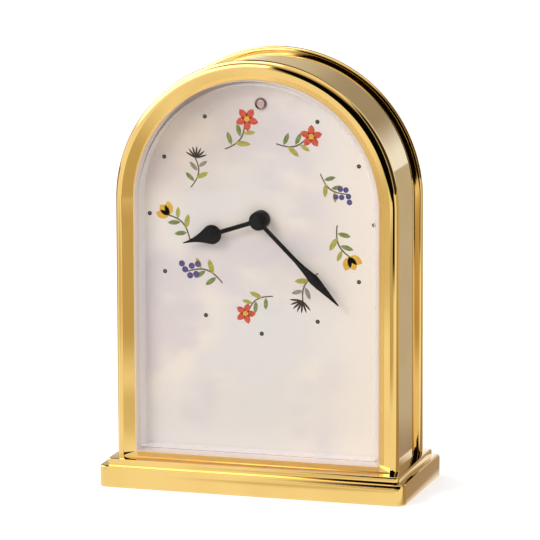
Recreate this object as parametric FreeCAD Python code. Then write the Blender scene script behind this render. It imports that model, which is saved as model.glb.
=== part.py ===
"""Arch-top table clock in polished brass, with a sound unit behind its cover.

The clock is built as it comes apart on a bench. A cast two-step base carries a front and a
rear cast arch frame, joined by a recessed sheet band. The front frame holds a dished clear
crystal and the dial, held by spring clips. The quartz movement hangs behind the dial on its
centre boss, and its motion work carries the hands. A moulded back cover carries the
loudspeaker, the sound board with its controls, and the battery tray behind a hinged door.
Frame: millimetres, +Z up, the front faces -Y, the origin is the middle of the base's underside.
"""
import FreeCAD, Part
import math
import os

V = FreeCAD.Vector
X_AXIS = V(1, 0, 0)
Y_AXIS = V(0, 1, 0)
Z_AXIS = V(0, 0, 1)

# Overall size and general clearances
overall_height = 240.0
case_radius = 80.5
case_depth = 56.0
cut_overrun = 1.0
seat_gap = 0.3
running_gap = 0.08
screw_gap = 0.05
aligned_share = 0.9
hex_sides = 6
turned_sides = 16
square_sides = 4
bead_flats = 3

# Base
base_width = 175.0
base_depth = 80.0
base_corner_radius = 5.5
plinth_height = 11.5
plinth_edge_bevel = 0.9
step_inset = 4.2
step_height = 3.5
step_corner_radius = 2.5
step_edge_bevel = 0.6
pad_thickness = 1.5
pad_recess = 1.0
pad_margin = 7.0
pad_corner_cut = 3.0

# Frame mouldings
bead_radius = 4.2
bead_depth = 5.5
face_step = 0.5
face_depth = 2.9
frame_width = 10.9
sill_toe = 0.4
sill_height = 2.9
ledge_depth = 7.6
spigot_depth = 10.0
spigot_wall = 1.8
spigot_floor = 1.5
band_recess = 3.0
band_thickness = 0.9

# Lugs and bolts that hold the frames to the base
lug_width = 16.0
lug_depth = 12.0
lug_height = 12.0
lug_overlap = 1.3
bolt_radius = 2.0
bolt_head_radius = 3.6
bolt_head_height = 2.6
bolt_pocket_depth = 6.0
bolt_reach = 9.0

# Crystal and dial
crystal_wall = 2.6
crystal_face = 2.6
crystal_proud = 1.0
crystal_flange = 1.8
dial_thickness = 1.2
dial_drop = 9.0
hour_ring_inset = 5.6
clip_thickness = 0.8
clip_width = 8.0
clip_reach = 6.0
clip_bite = 1.2
clip_lip = 1.0
lower_clip_height = 40.0
upper_clip_height = 105.0

# Light sensor
bezel_radius = 3.3
bezel_height = 0.9
sensor_radius = 2.2
sensor_setback = 0.35
sensor_length = 3.4
lead_size = 0.5
lead_length = 4.0
lead_spacing = 2.4

# Movement shell and its centre boss
movement_size = 56.0
movement_corner_cut = 3.0
shell_wall = 1.6
front_shell_depth = 8.0
rear_shell_depth = 8.0
boss_radius = 3.9
boss_bore_gap = 0.1
boss_stand_out = 3.5
dial_nut_radius = 5.2
dial_nut_height = 2.0
pillar_size = 4.4
pillar_offset = 20.5
pivot_depth = 1.0

# Motion work
gear_module = 0.525
gear_thickness = 1.0
cannon_teeth = 10
minute_wheel_teeth = 30
minute_pinion_teeth = 8
hour_wheel_teeth = 32
set_wheel_teeth = 15
minute_wheel_bearing = 180.0
set_wheel_bearing = 120.0
hour_wheel_gap = 0.5
wheel_gap = 1.0
cannon_extra = 0.2
addendum_share = 0.80
dedendum_share = 1.20
tooth_root_share = 0.58
tooth_tip_share = 0.22
arbor_radius = 1.5
tube_wall = 0.9
pivot_radius = 0.6
train_plate_size = 48.0
train_plate_thickness = 1.0

# Hands
hand_hub_radius = 5.2
hand_thickness = 0.8
minute_hand_margin = 0.3
minute_hand_width = 5.7
minute_stem_width = 2.3
hour_length_share = 0.724
hour_stem_width = 2.5
hour_bulb_radius = 5.4
hour_bulb_centre_share = 0.622
hour_bulb_leave_angle = 60.0
hand_tip_width = 0.5
hand_gap = 1.3
tube_stand_out = 0.2
hand_cap_radius = 3.1
hand_cap_height = 1.5
shown_minute_angle = 134.4
shown_hour_angle = 251.2

# Drive block, coil and movement board
drive_width = 32.0
drive_height = 26.0
drive_depth = 5.8
drive_left = 12.0
drive_below = 14.0
drive_corner_cut = 2.0
arbor_socket = 3.4
coil_length = 22.0
coil_radius = 3.0
bobbin_flange_size = 6.6
bobbin_flange = 1.0
bobbin_tube_size = 3.2
core_size = 1.8
core_drop = 6.0
core_leg_width = 4.0
core_overhang = 1.5
movement_board_width = 26.0
movement_board_height = 9.0
movement_board_thickness = 1.0
movement_board_rise = 14.5
chip_size = 5.0
chip_height = 0.8
quartz_can_radius = 1.0
quartz_can_length = 6.0

# Setting knob
knob_radius = 7.0
knob_height = 5.0
knob_gap = 0.6
knob_flutes = 20
knob_flute_depth = 0.7
knob_socket = 3.5

# Back cover
cover_thickness = 2.5
cover_setback = 1.0
rear_ledge_thickness = 3.0
rear_ledge_width = 6.4
rear_rabbet_wall = 4.0
rear_rail_toe = 1.7
cover_screw_inset = 3.2
cover_screw_radius = 1.2
cover_screw_reach = 5.0
lower_screw_height = 30.0
arch_screw_angle = 45.0
cover_screw_head_radius = 2.5
cover_screw_head_height = 1.6
cover_screw_slot = 0.8

# Loudspeaker and its grille
speaker_size = 36.0
speaker_corner_cut = 4.0
speaker_flange = 1.6
speaker_depth = 13.0
basket_wall = 1.2
basket_mouth = 33.0
basket_neck = 21.0
magnet_radius = 8.5
magnet_thickness = 4.0
cone_depth = 4.0
cone_rim = 1.0
cone_neck_radius = 4.0
grille_slot_width = 2.0
grille_slot_pitch = 4.4
grille_radius = 16.0

# Battery tray, cells and door
cell_radius = 7.2
cell_length = 50.4
cell_pitch = 15.0
cell_count = 3
tray_wall = 1.5
tray_rise = 4.0
tray_depth = 16.6
contact_thickness = 0.4
contact_width = 9.0
contact_bow = 1.4
door_thickness = 2.1
door_gap = 0.35
door_pin_radius = 0.7
door_pin_length = 1.5
door_notch_width = 14.0
door_notch_height = 5.0
door_notch_depth = 0.9

# Sound board and its controls
board_width = 32.0
board_height = 46.0
board_thickness = 1.6
board_margin = 8.0
board_rise = 13.0
board_stand_off = 5.0
board_post_size = 4.8
board_post_inset = 3.0
sound_chip_size = 9.0
sound_chip_height = 1.4
capacitor_radius = 3.2
capacitor_height = 6.0
capacitor_spacing = 9.0
switch_width = 13.0
switch_height = 5.5
switch_depth = 4.0
switch_rise = 34.0
slider_width = 4.0
slider_height = 3.0
slider_travel = 3.0
slider_stand_out = 1.6
tact_size = 6.0
tact_depth = 3.2
button_rise = 12.0
button_radius = 3.0
button_travel = 1.2
button_stand_out = 1.6
button_flange = 0.5
button_flange_extra = 0.6

# Places worked out from the sizes above
spring_height = overall_height - case_radius
front_y = -case_depth / 2
rear_y = case_depth / 2
base_underside = pad_thickness - pad_recess
plinth_top = base_underside + plinth_height
base_top = plinth_top + step_height
bead_back_y = front_y + bead_depth
face_top_y = front_y + face_step
face_inner_y = front_y + face_depth
opening_floor = base_top + sill_height
face_half_width = case_radius - bead_radius
opening_half_width = case_radius - frame_width
band_radius = case_radius - band_recess
spigot_radius = band_radius - band_thickness - seat_gap
seat_half_width = spigot_radius - spigot_wall
seat_floor = base_top + spigot_floor
ledge_y = face_inner_y + ledge_depth
spigot_end_y = bead_back_y + spigot_depth
crystal_half_width = opening_half_width - seat_gap
crystal_floor = opening_floor + seat_gap
crystal_front_y = front_y - crystal_proud
dial_y = ledge_y + crystal_flange
dial_back_y = dial_y + dial_thickness
flange_half_width = seat_half_width - seat_gap
flange_floor = seat_floor + seat_gap
hub_height = spring_height - dial_drop
hour_ring_radius = opening_half_width - hour_ring_inset
sensor_height = hub_height + hour_ring_radius
minute_hand_length = hour_ring_radius - minute_hand_margin
hour_hand_length = minute_hand_length * hour_length_share
hour_bulb_centre = hour_hand_length * hour_bulb_centre_share
front_plate_y = dial_back_y + shell_wall
front_shell_end_y = dial_back_y + front_shell_depth
rear_shell_end_y = front_shell_end_y + rear_shell_depth
boss_front_y = dial_y - boss_stand_out
tube_radius = arbor_radius + boss_bore_gap + tube_wall
boss_bore = tube_radius + boss_bore_gap
hour_wheel_y = front_plate_y + hour_wheel_gap
going_y = hour_wheel_y + gear_thickness + wheel_gap
train_plate_y = going_y + gear_thickness + wheel_gap
train_plate_back_y = train_plate_y + train_plate_thickness
hour_seat_y = boss_front_y - tube_stand_out
hour_hand_front_y = hour_seat_y - hand_thickness
minute_seat_y = hour_hand_front_y - hand_gap
minute_hand_front_y = minute_seat_y - hand_thickness
pitch_distance = gear_module * (cannon_teeth + minute_wheel_teeth) / 2
set_distance = gear_module * (minute_wheel_teeth + set_wheel_teeth) / 2
minute_wheel_x = pitch_distance * math.cos(math.radians(minute_wheel_bearing))
minute_wheel_z = hub_height + pitch_distance * math.sin(math.radians(minute_wheel_bearing))
set_axis_x = minute_wheel_x + set_distance * math.cos(math.radians(set_wheel_bearing))
set_axis_z = minute_wheel_z + set_distance * math.sin(math.radians(set_wheel_bearing))
cover_back_y = rear_y - cover_setback
cover_front_y = cover_back_y - cover_thickness
rabbet_half_width = case_radius - bead_radius - rear_rabbet_wall
cover_half_width = rabbet_half_width - seat_gap
cover_floor = base_top + rear_rail_toe + seat_gap
rear_ledge_half_width = rabbet_half_width - rear_ledge_width
rear_ledge_floor = base_top + rear_rail_toe + rear_ledge_width / 2
board_back_y = cover_front_y - board_stand_off
board_front_y = board_back_y - board_thickness
board_left = cover_half_width - board_margin
board_centre_x = -board_left + board_width / 2
tray_bottom_height = cover_floor + tray_rise
tray_front_y = cover_front_y - tray_depth
tray_half_width = cell_pitch * (cell_count - 1) / 2 + cell_radius + seat_gap + tray_wall
contact_height = contact_thickness + contact_bow
cell_floor = tray_bottom_height + tray_wall + contact_height
cell_room = cell_length + seat_gap * 2
tray_top = cell_floor + cell_room + contact_height + tray_wall
board_bottom_height = tray_top + board_rise
speaker_height = (tray_top + set_axis_z - arbor_radius) / 2
cell_y = tray_front_y + tray_wall + seat_gap + cell_radius
door_half_width = tray_half_width - tray_wall
door_y = cover_back_y - door_thickness / 2
door_hinge_height = tray_top - tray_wall
door_floor = tray_bottom_height + tray_wall


def box(x0, x1, y0, y1, z0, z1):
    """A box between six planes."""
    return Part.makeBox(x1 - x0, y1 - y0, z1 - z0, V(x0, y0, z0))


def rod_y(x, z, radius, y0, y1):
    """A round rod along Y."""
    return Part.makeCylinder(radius, y1 - y0, V(x, y0, z), Y_AXIS)


def rod_x(y, z, radius, x0, x1):
    """A round rod along X."""
    return Part.makeCylinder(radius, x1 - x0, V(x0, y, z), X_AXIS)


def fused(first, *others):
    """One solid from touching or overlapping solids, without the seams."""
    return first.fuse(list(others)).removeSplitter()


def sided_bar(sides, radius, length):
    """A bar with flat sides along +Z from the origin, its corners on the radius."""
    bearings = [math.radians(360.0 * side / sides) for side in range(sides + 1)]
    points = [V(radius * math.cos(bearing), radius * math.sin(bearing), 0) for bearing in bearings]
    return Part.Face(Part.makePolygon(points)).extrude(V(0, 0, length))


def sided_cone(sides, radius_0, radius_1, length):
    """A flat-sided cone along +Z from the origin, its corners on a radius at each end."""
    rings = []
    for radius, z in ((radius_0, 0), (radius_1, length)):
        bearings = [math.radians(360.0 * (side + 0.5) / sides) for side in range(sides)]
        rings.append([V(radius * math.cos(b), radius * math.sin(b), z) for b in bearings])
    faces = [Part.Face(Part.makePolygon(ring + ring[:1])) for ring in rings]
    for side in range(sides):
        after = (side + 1) % sides
        corners = [rings[0][side], rings[0][after], rings[1][after], rings[1][side],
                   rings[0][side]]
        faces.append(Part.Face(Part.makePolygon(corners)))
    return Part.makeSolid(Part.makeShell(faces))


def sided_y(sides, x, z, radius, y0, y1):
    """A bar with flat sides along Y."""
    return placed(sided_bar(sides, radius, y1 - y0), x, y0, z, -90, X_AXIS)


def sided_z(sides, x, y, radius, z0, z1):
    """A bar with flat sides along Z."""
    return placed(sided_bar(sides, radius, z1 - z0), x, y, z0)


def edges_along(shape, axis):
    """The straight edges of a shape that run along an axis."""
    return [e for e in shape.Edges if abs(e.tangentAt(e.FirstParameter).dot(axis)) > aligned_share]


def edges_above(shape, height):
    """The edges of a shape that lie wholly above a height."""
    return [e for e in shape.Edges if e.BoundBox.ZMin > height]


def flat_plate(width, depth, z0, z1):
    """A plate lying flat, centred on the origin."""
    return box(-width / 2, width / 2, -depth / 2, depth / 2, z0, z1)


def cut_corner_panel(x0, x1, y0, y1, z0, z1, cut):
    """A panel standing across Y, with its four corners cut off."""
    panel = box(x0, x1, y0, y1, z0, z1)
    return panel.makeChamfer(cut, edges_along(panel, Y_AXIS))


def arch_wire(half_width, floor, y):
    """A round-headed arch outline in the plane y, on the case's own spring line."""
    left_foot = V(-half_width, y, floor)
    left_spring = V(-half_width, y, spring_height)
    crown = V(0, y, spring_height + half_width)
    right_spring = V(half_width, y, spring_height)
    right_foot = V(half_width, y, floor)
    edges = [
        Part.makeLine(left_foot, left_spring),
        Part.Arc(left_spring, crown, right_spring).toShape(),
        Part.makeLine(right_spring, right_foot),
        Part.makeLine(right_foot, left_foot),
    ]
    return Part.Wire(edges)


def arch_prism(half_width, floor, y0, y1):
    """The arch outline carried from y0 to y1."""
    return Part.Face(arch_wire(half_width, floor, y0)).extrude(V(0, y1 - y0, 0))


def arch_taper(half_width_0, floor_0, y0, half_width_1, floor_1, y1):
    """A ruled solid between two arch outlines."""
    wires = [arch_wire(half_width_0, floor_0, y0), arch_wire(half_width_1, floor_1, y1)]
    return Part.makeLoft(wires, True, True)


def bead_ring(y0, y1):
    """The frame's outer ring from its flat back at y0 to the crown of its bead at y1.

    The bead's quarter round is drawn with narrow flats, up one leg, over the arch and down.
    """
    way = math.copysign(1, y1 - y0)
    crown = case_radius - bead_radius
    section = [V(0, y0, base_top), V(-case_radius, y0, base_top)]
    for flat in range(bead_flats + 1):
        turn = math.pi / 2 * flat / bead_flats
        section.append(V(-crown - bead_radius * math.cos(turn),
                         y1 - way * bead_radius * (1 - math.sin(turn)), base_top))
    section += [V(0, y1, base_top), V(0, y0, base_top)]
    face = Part.Face(Part.makePolygon(section))
    leg = face.extrude(V(0, 0, spring_height - base_top))
    raised = placed(face, 0, 0, spring_height - base_top)
    quarter = raised.revolve(V(0, 0, spring_height), Y_AXIS, 90)
    half = leg.fuse(quarter)
    return fused(half, half.mirror(V(0, 0, 0), X_AXIS))


def placed(shape, x, y, z, turn=0, axis=Z_AXIS):
    """A copy turned about an axis through the origin and then moved."""
    copy = shape.copy()
    if turn:
        copy.rotate(V(0, 0, 0), axis, turn)
    copy.translate(V(x, y, z))
    return copy


def tangent_arc(start, direction, end):
    """An arc in the plane y = 0 that leaves start along direction and stops at end."""
    chord = end - start
    along = V(chord).normalize()
    heading = V(direction).normalize()
    turn = math.acos(max(-1.0, min(1.0, along.dot(heading))))
    side = heading - along * along.dot(heading)
    side.normalize()
    middle = start + chord / 2 + side * (chord.Length / 2 * math.tan(turn / 2))
    return Part.Arc(start, middle, end).toShape()


def mirrored(edges):
    """The same edges on the other side of the plane x = 0."""
    return [e.mirror(V(0, 0, 0), X_AXIS) for e in edges]


def outline_solid(edges, y0, y1):
    """A flat solid from loose outline edges in the plane y = 0."""
    wire = Part.Wire(Part.__sortEdges__(edges))
    solid = Part.Face(wire).extrude(V(0, y1 - y0, 0))
    solid.translate(V(0, y0, 0))
    return solid


def gear_wheel(teeth, phase, y0, y1):
    """A toothed wheel on the Y axis, with the middle of one tooth at the angle phase.

    The angle is measured from +X towards +Z. Each tooth has a root and a tip width given as
    shares of the pitch, so that a meshed pair keeps its backlash at every angle.
    """
    pitch_radius = gear_module * teeth / 2
    root_radius = pitch_radius - gear_module * dedendum_share
    tip_radius = pitch_radius + gear_module * addendum_share
    step = 360.0 / teeth
    corners = (
        (root_radius, -step * tooth_root_share / 2),
        (tip_radius, -step * tooth_tip_share / 2),
        (tip_radius, step * tooth_tip_share / 2),
        (root_radius, step * tooth_root_share / 2),
    )
    points = []
    for index in range(teeth):
        for radius, offset in corners:
            bearing = math.radians(phase + index * step + offset)
            points.append(V(radius * math.cos(bearing), 0, radius * math.sin(bearing)))
    points.append(points[0])
    wheel = Part.Face(Part.makePolygon(points)).extrude(V(0, y1 - y0, 0))
    wheel.translate(V(0, y0, 0))
    return wheel


def tooth_phases():
    """Where one tooth of each wheel points, so that each is in mesh with the one before."""
    minute_step = 360.0 / minute_wheel_teeth
    minute_wheel = minute_wheel_bearing + 180.0 + minute_step / 2
    offset = (minute_wheel - set_wheel_bearing + minute_step / 2) % minute_step - minute_step / 2
    carried = offset * minute_wheel_teeth / set_wheel_teeth
    return {
        "cannon": minute_wheel_bearing,
        "minute_wheel": minute_wheel,
        "minute_pinion": minute_wheel_bearing + 180.0,
        "hour_wheel": minute_wheel_bearing + 180.0 / hour_wheel_teeth,
        "set_wheel": set_wheel_bearing + 180.0 - carried + 180.0 / set_wheel_teeth,
    }


PHASES = tooth_phases()


def lug_pair(inner_y, outer_y):
    """Two cast lugs inside the feet of a frame, each with its tapped bolt hole cut later."""
    lugs = []
    for side in (-1, 1):
        near = side * (spigot_radius - lug_width)
        far = side * spigot_radius
        lugs.append(box(min(near, far), max(near, far), inner_y, outer_y,
                        base_top, base_top + lug_height))
    return lugs


def bolt_places():
    """The four bolts that hold the frames to the base."""
    x = spigot_radius - lug_width / 2
    y = -spigot_end_y + lug_overlap - lug_depth / 2
    return [(sx * x, sy * y) for sx in (-1, 1) for sy in (-1, 1)]


def tapped_holes(shape):
    """Cut the blind bolt holes of the base bolts out of a frame."""
    holes = [sided_z(hex_sides, x, y, bolt_radius + running_gap, base_top - cut_overrun,
                   base_top + bolt_reach + cut_overrun) for x, y in bolt_places()]
    return shape.cut(holes)


def base_casting():
    """The two-step brass base, with the pad recess and four bolt pockets underneath."""
    plinth = flat_plate(base_width, base_depth, base_underside, plinth_top)
    plinth = plinth.makeFillet(base_corner_radius, edges_along(plinth, Z_AXIS))
    plinth = plinth.makeChamfer(plinth_edge_bevel,
                                edges_above(plinth, plinth_top - plinth_edge_bevel))
    step = flat_plate(base_width - step_inset * 2, base_depth - step_inset * 2,
                      plinth_top - step_height, base_top)
    step = step.makeFillet(step_corner_radius, edges_along(step, Z_AXIS))
    step = step.makeChamfer(step_edge_bevel, edges_above(step, base_top - step_edge_bevel))
    body = fused(plinth, step).cut(pad_outline(base_underside - cut_overrun, 0))
    pocket_top = pad_thickness + bolt_pocket_depth
    holes = []
    for x, y in bolt_places():
        holes.append(sided_z(hex_sides, x, y, bolt_head_radius + seat_gap * 2,
                             pad_thickness - cut_overrun, pocket_top))
        holes.append(sided_z(hex_sides, x, y, bolt_radius + seat_gap, pocket_top - cut_overrun,
                             base_top + cut_overrun))
    return body.cut(holes)


def pad_outline(z0, inset):
    """The outline of the pad's recess, drawn in by an inset, up to the top of the pad."""
    pad = flat_plate(base_width - (pad_margin + inset) * 2, base_depth - (pad_margin + inset) * 2,
                     z0, pad_thickness)
    return pad.makeChamfer(pad_corner_cut, edges_along(pad, Z_AXIS))


def base_pad():
    """The felt pad in the shallow recess: the clock stands on it."""
    return pad_outline(0, seat_gap)


def case_bolts():
    """Four hexagon bolts driven up through the base into the lugs of the frames.

    The threaded shank is drawn six-sided, as wide as its thread.
    """
    head_top = pad_thickness + bolt_pocket_depth
    head_bottom = head_top - bolt_head_height
    return Part.makeCompound([fused(sided_z(hex_sides, x, y, bolt_head_radius, head_bottom, head_top),
                                    sided_z(hex_sides, x, y, bolt_radius, head_bottom,
                                            base_top + bolt_reach))
                              for x, y in bolt_places()])


def front_frame():
    """The front arch frame: bead, sloped face with its sill, crystal seat, spigot and lugs."""
    ring = bead_ring(bead_back_y, front_y)
    spigot = arch_prism(spigot_radius, base_top, bead_back_y - cut_overrun, spigot_end_y)
    body = fused(ring, spigot)
    toe = base_top + sill_toe
    body = body.cut(arch_prism(face_half_width, toe, front_y - cut_overrun, face_top_y))
    body = body.cut(box(-face_half_width, face_half_width, front_y - cut_overrun, face_top_y,
                        base_top - cut_overrun, toe + cut_overrun))
    body = body.cut(arch_taper(face_half_width, toe, face_top_y,
                               opening_half_width, opening_floor, face_inner_y))
    body = body.cut(arch_prism(opening_half_width, opening_floor, face_inner_y - cut_overrun,
                               spigot_end_y + cut_overrun))
    body = body.cut(arch_prism(seat_half_width, seat_floor, ledge_y, spigot_end_y + cut_overrun))
    lug_front = spigot_end_y - lug_overlap
    body = fused(body, *lug_pair(lug_front, lug_front + lug_depth))
    return tapped_holes(body).cut(around_dial(clip_slot()))


def rear_frame():
    """The rear arch frame: the same bead, a rabbet with its ledge for the cover, and lugs."""
    ring = bead_ring(-bead_back_y, rear_y)
    spigot = arch_prism(spigot_radius, base_top, -spigot_end_y, -bead_back_y + cut_overrun)
    body = fused(ring, spigot)
    body = body.cut(arch_prism(rabbet_half_width, cover_floor - seat_gap, cover_front_y,
                               rear_y + cut_overrun))
    body = body.cut(arch_prism(rear_ledge_half_width, rear_ledge_floor,
                               cover_front_y - rear_ledge_thickness - cut_overrun,
                               cover_front_y + cut_overrun))
    body = body.cut(arch_prism(seat_half_width, seat_floor, -spigot_end_y - cut_overrun,
                               cover_front_y - rear_ledge_thickness))
    lug_back = -spigot_end_y + lug_overlap
    body = fused(body, *lug_pair(lug_back - lug_depth, lug_back))
    holes = [sided_y(hex_sides, x, z, cover_screw_radius + running_gap,
                   cover_front_y - rear_ledge_thickness - cut_overrun,
                   cover_front_y + cut_overrun) for x, z in cover_screw_places()]
    return tapped_holes(body).cut(holes)


def side_band():
    """The sheet band that wraps the sides and top of the case between the two beads."""
    outer = arch_prism(band_radius, base_top, bead_back_y, -bead_back_y)
    inner = arch_prism(band_radius - band_thickness, base_top - cut_overrun,
                       bead_back_y - cut_overrun, -bead_back_y + cut_overrun)
    return outer.cut(inner)


def around_dial(shape):
    """Copies of a shape drawn on +X from the arch's centre: two up each leg, one at the crown."""
    copies = [placed(shape, 0, 0, height, turn, Y_AXIS)
              for height in (lower_clip_height, upper_clip_height) for turn in (0, 180)]
    copies.append(placed(shape, 0, 0, spring_height, -90, Y_AXIS))
    return copies


def clip_slot():
    """The slot in the spigot's wall that one dial clip springs into."""
    return box(seat_half_width - cut_overrun, seat_half_width + clip_bite, dial_back_y,
               dial_back_y + clip_thickness, -clip_width / 2, clip_width / 2)


def crystal():
    """The dished clear crystal, with its flange behind the frame's ledge."""
    dish = arch_prism(crystal_half_width, crystal_floor, crystal_front_y, dial_y)
    flange = arch_prism(flange_half_width, flange_floor, ledge_y, dial_y)
    return fused(dish, flange).cut(arch_prism(crystal_half_width - crystal_wall,
                                              crystal_floor + crystal_wall,
                                              crystal_front_y + crystal_face,
                                              dial_y + cut_overrun))


def dial_plate():
    """The dial plate, with its hub hole and its sensor hole."""
    plate = arch_prism(flange_half_width, flange_floor, dial_y, dial_back_y)
    low = dial_y - cut_overrun
    high = dial_back_y + cut_overrun
    return plate.cut([rod_y(0, hub_height, boss_radius + seat_gap, low, high),
                      sided_y(turned_sides, 0, sensor_height, sensor_radius + seat_gap,
                              low, high)])


def dial_clips():
    """Five sheet-steel clips, sprung into slots in the frame, that press on the dial's back."""
    half = clip_width / 2
    inner = seat_half_width - clip_reach
    strip = box(inner, seat_half_width + clip_bite, dial_back_y, dial_back_y + clip_thickness,
                -half, half)
    lip = box(inner, inner + clip_thickness, dial_back_y, dial_back_y + clip_thickness + clip_lip,
              -half, half)
    return Part.makeCompound(around_dial(fused(strip, lip)))


def sensor_bezel():
    """The turned ring that frames the light sensor on the dial."""
    rim_y = dial_y - bezel_height
    ring = sided_y(turned_sides, 0, sensor_height, bezel_radius, rim_y, dial_y)
    return ring.cut(sided_y(turned_sides, 0, sensor_height, sensor_radius + screw_gap,
                            rim_y - cut_overrun, dial_y + cut_overrun))


def light_sensor():
    """The photocell disc with its two leads."""
    front = dial_y - bezel_height + sensor_setback
    back = front + sensor_length
    half = lead_size / 2
    disc = sided_y(turned_sides, 0, sensor_height, sensor_radius, front, back)
    leads = [box(side * lead_spacing / 2 - half, side * lead_spacing / 2 + half, back - half,
                 back + lead_length, sensor_height - half, sensor_height + half)
             for side in (-1, 1)]
    return fused(disc, *leads)


def shell_outline(y0, y1, inset):
    """The movement's square body between two planes, drawn in by an inset."""
    half = movement_size / 2 - inset
    return cut_corner_panel(-half, half, y0, y1, hub_height - half, hub_height + half,
                            movement_corner_cut)


def movement_front_shell():
    """The front shell: tray, threaded centre boss, four pillars and the wheel's pivot hole."""
    body = shell_outline(dial_back_y, front_shell_end_y, 0)
    body = body.cut(shell_outline(front_plate_y, front_shell_end_y + cut_overrun, shell_wall))
    boss = rod_y(0, hub_height, boss_radius, boss_front_y, front_plate_y)
    half = pillar_size / 2
    pillars = [box(x - half, x + half, front_plate_y, train_plate_y, z - half, z + half)
               for x, z in pillar_places()]
    body = fused(body, boss, *pillars)
    bore = rod_y(0, hub_height, boss_bore, boss_front_y - cut_overrun,
                 front_plate_y + cut_overrun)
    pivot_hole = rod_y(minute_wheel_x, minute_wheel_z, pivot_radius + running_gap,
                       front_plate_y - pivot_depth, front_plate_y + cut_overrun)
    return body.cut([bore, pivot_hole])


def pillar_places():
    """The four pillars that carry the train plate."""
    return [(sx * pillar_offset, hub_height + sz * pillar_offset)
            for sx in (-1, 1) for sz in (-1, 1)]


def movement_rear_shell():
    """The rear shell, with the clearance hole of the setting arbor."""
    body = shell_outline(front_shell_end_y, rear_shell_end_y, 0)
    body = body.cut(shell_outline(front_shell_end_y - cut_overrun,
                                  rear_shell_end_y - shell_wall, shell_wall))
    return body.cut(rod_y(set_axis_x, set_axis_z, arbor_radius + running_gap, front_shell_end_y,
                          rear_shell_end_y + cut_overrun))


def train_plate():
    """The plate behind the motion work: its bearing holes and a notch for the setting arbor."""
    half = train_plate_size / 2
    plate = cut_corner_panel(-half, half, train_plate_y, train_plate_back_y, hub_height - half,
                             hub_height + half, movement_corner_cut)
    low = train_plate_y - cut_overrun
    high = train_plate_back_y + cut_overrun
    notch = box(-half - cut_overrun, set_axis_x + arbor_radius + seat_gap, low, high,
                set_axis_z - arbor_radius - seat_gap, set_axis_z + arbor_radius + seat_gap)
    return plate.cut([
        rod_y(0, hub_height, arbor_radius + running_gap, low, high),
        rod_y(minute_wheel_x, minute_wheel_z, pivot_radius + running_gap, low, high),
        notch,
    ])


def dial_nut():
    """The hexagon nut that clamps the movement to the dial."""
    back = dial_y
    front = back - dial_nut_height
    nut = sided_y(hex_sides, 0, hub_height, dial_nut_radius, front, back)
    return nut.cut(rod_y(0, hub_height, boss_radius + screw_gap, front - cut_overrun,
                         back + cut_overrun))


def minute_arbor():
    """The minute arbor with its cannon pinion; the minute hand sits on its front end."""
    pinion = gear_wheel(cannon_teeth, PHASES["cannon"], going_y - cannon_extra,
                        going_y + gear_thickness + cannon_extra)
    pinion.translate(V(0, 0, hub_height))
    shaft = rod_y(0, hub_height, arbor_radius, minute_hand_front_y,
                  train_plate_back_y + arbor_socket - seat_gap)
    return fused(shaft, pinion)


def hour_wheel():
    """The hour wheel on its long tube; the hour hand sits on the tube's front end."""
    wheel = gear_wheel(hour_wheel_teeth, PHASES["hour_wheel"], hour_wheel_y,
                       hour_wheel_y + gear_thickness)
    wheel.translate(V(0, 0, hub_height))
    tube = rod_y(0, hub_height, tube_radius, hour_hand_front_y, hour_wheel_y + gear_thickness)
    return fused(wheel, tube).cut(rod_y(0, hub_height, arbor_radius + boss_bore_gap,
                                        hour_hand_front_y - cut_overrun,
                                        hour_wheel_y + gear_thickness + cut_overrun))


def minute_wheel():
    """The intermediate wheel with its pinion, between the minute arbor and the hour wheel."""
    wheel = gear_wheel(minute_wheel_teeth, PHASES["minute_wheel"], going_y,
                       going_y + gear_thickness)
    pinion = gear_wheel(minute_pinion_teeth, PHASES["minute_pinion"], hour_wheel_y,
                        going_y + cannon_extra)
    for toothed in (wheel, pinion):
        toothed.translate(V(minute_wheel_x, 0, minute_wheel_z))
    pivots = rod_y(minute_wheel_x, minute_wheel_z, pivot_radius,
                   front_plate_y - pivot_depth + cannon_extra, train_plate_back_y)
    return fused(wheel, pinion, pivots)


def set_arbor():
    """The setting arbor: its wheel meshes with the intermediate wheel, its end leaves the back."""
    wheel = gear_wheel(set_wheel_teeth, PHASES["set_wheel"], going_y, going_y + gear_thickness)
    wheel.translate(V(set_axis_x, 0, set_axis_z))
    shaft = rod_y(set_axis_x, set_axis_z, arbor_radius, front_plate_y + cannon_extra,
                  cover_back_y + knob_gap + knob_socket)
    return fused(wheel, shaft)


def set_knob():
    """The serrated setting knob on the end of its arbor."""
    back = cover_back_y + knob_gap
    points = []
    for index in range(knob_flutes * 2 + 1):
        bearing = math.radians(180.0 * index / knob_flutes)
        reach = knob_radius - knob_flute_depth * (index % 2)
        points.append(V(set_axis_x + reach * math.cos(bearing), back,
                        set_axis_z + reach * math.sin(bearing)))
    knob = Part.Face(Part.makePolygon(points)).extrude(V(0, knob_height, 0))
    return knob.cut(rod_y(set_axis_x, set_axis_z, arbor_radius + screw_gap, back - cut_overrun,
                          back + knob_socket))


def hub_and_blade(blade_edges, hole_radius, seat_y, angle):
    """A hand stamped from one sheet: its blade, its hub disc and its hole, turned to an angle."""
    blade = outline_solid(blade_edges, seat_y - hand_thickness, seat_y)
    hub = rod_y(0, 0, hand_hub_radius, seat_y - hand_thickness, seat_y)
    hole = rod_y(0, 0, hole_radius, seat_y - hand_thickness - cut_overrun, seat_y + cut_overrun)
    hand = fused(blade, hub).cut(hole)
    hand.rotate(V(0, 0, 0), Y_AXIS, angle)
    hand.translate(V(0, 0, hub_height))
    return hand


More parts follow.
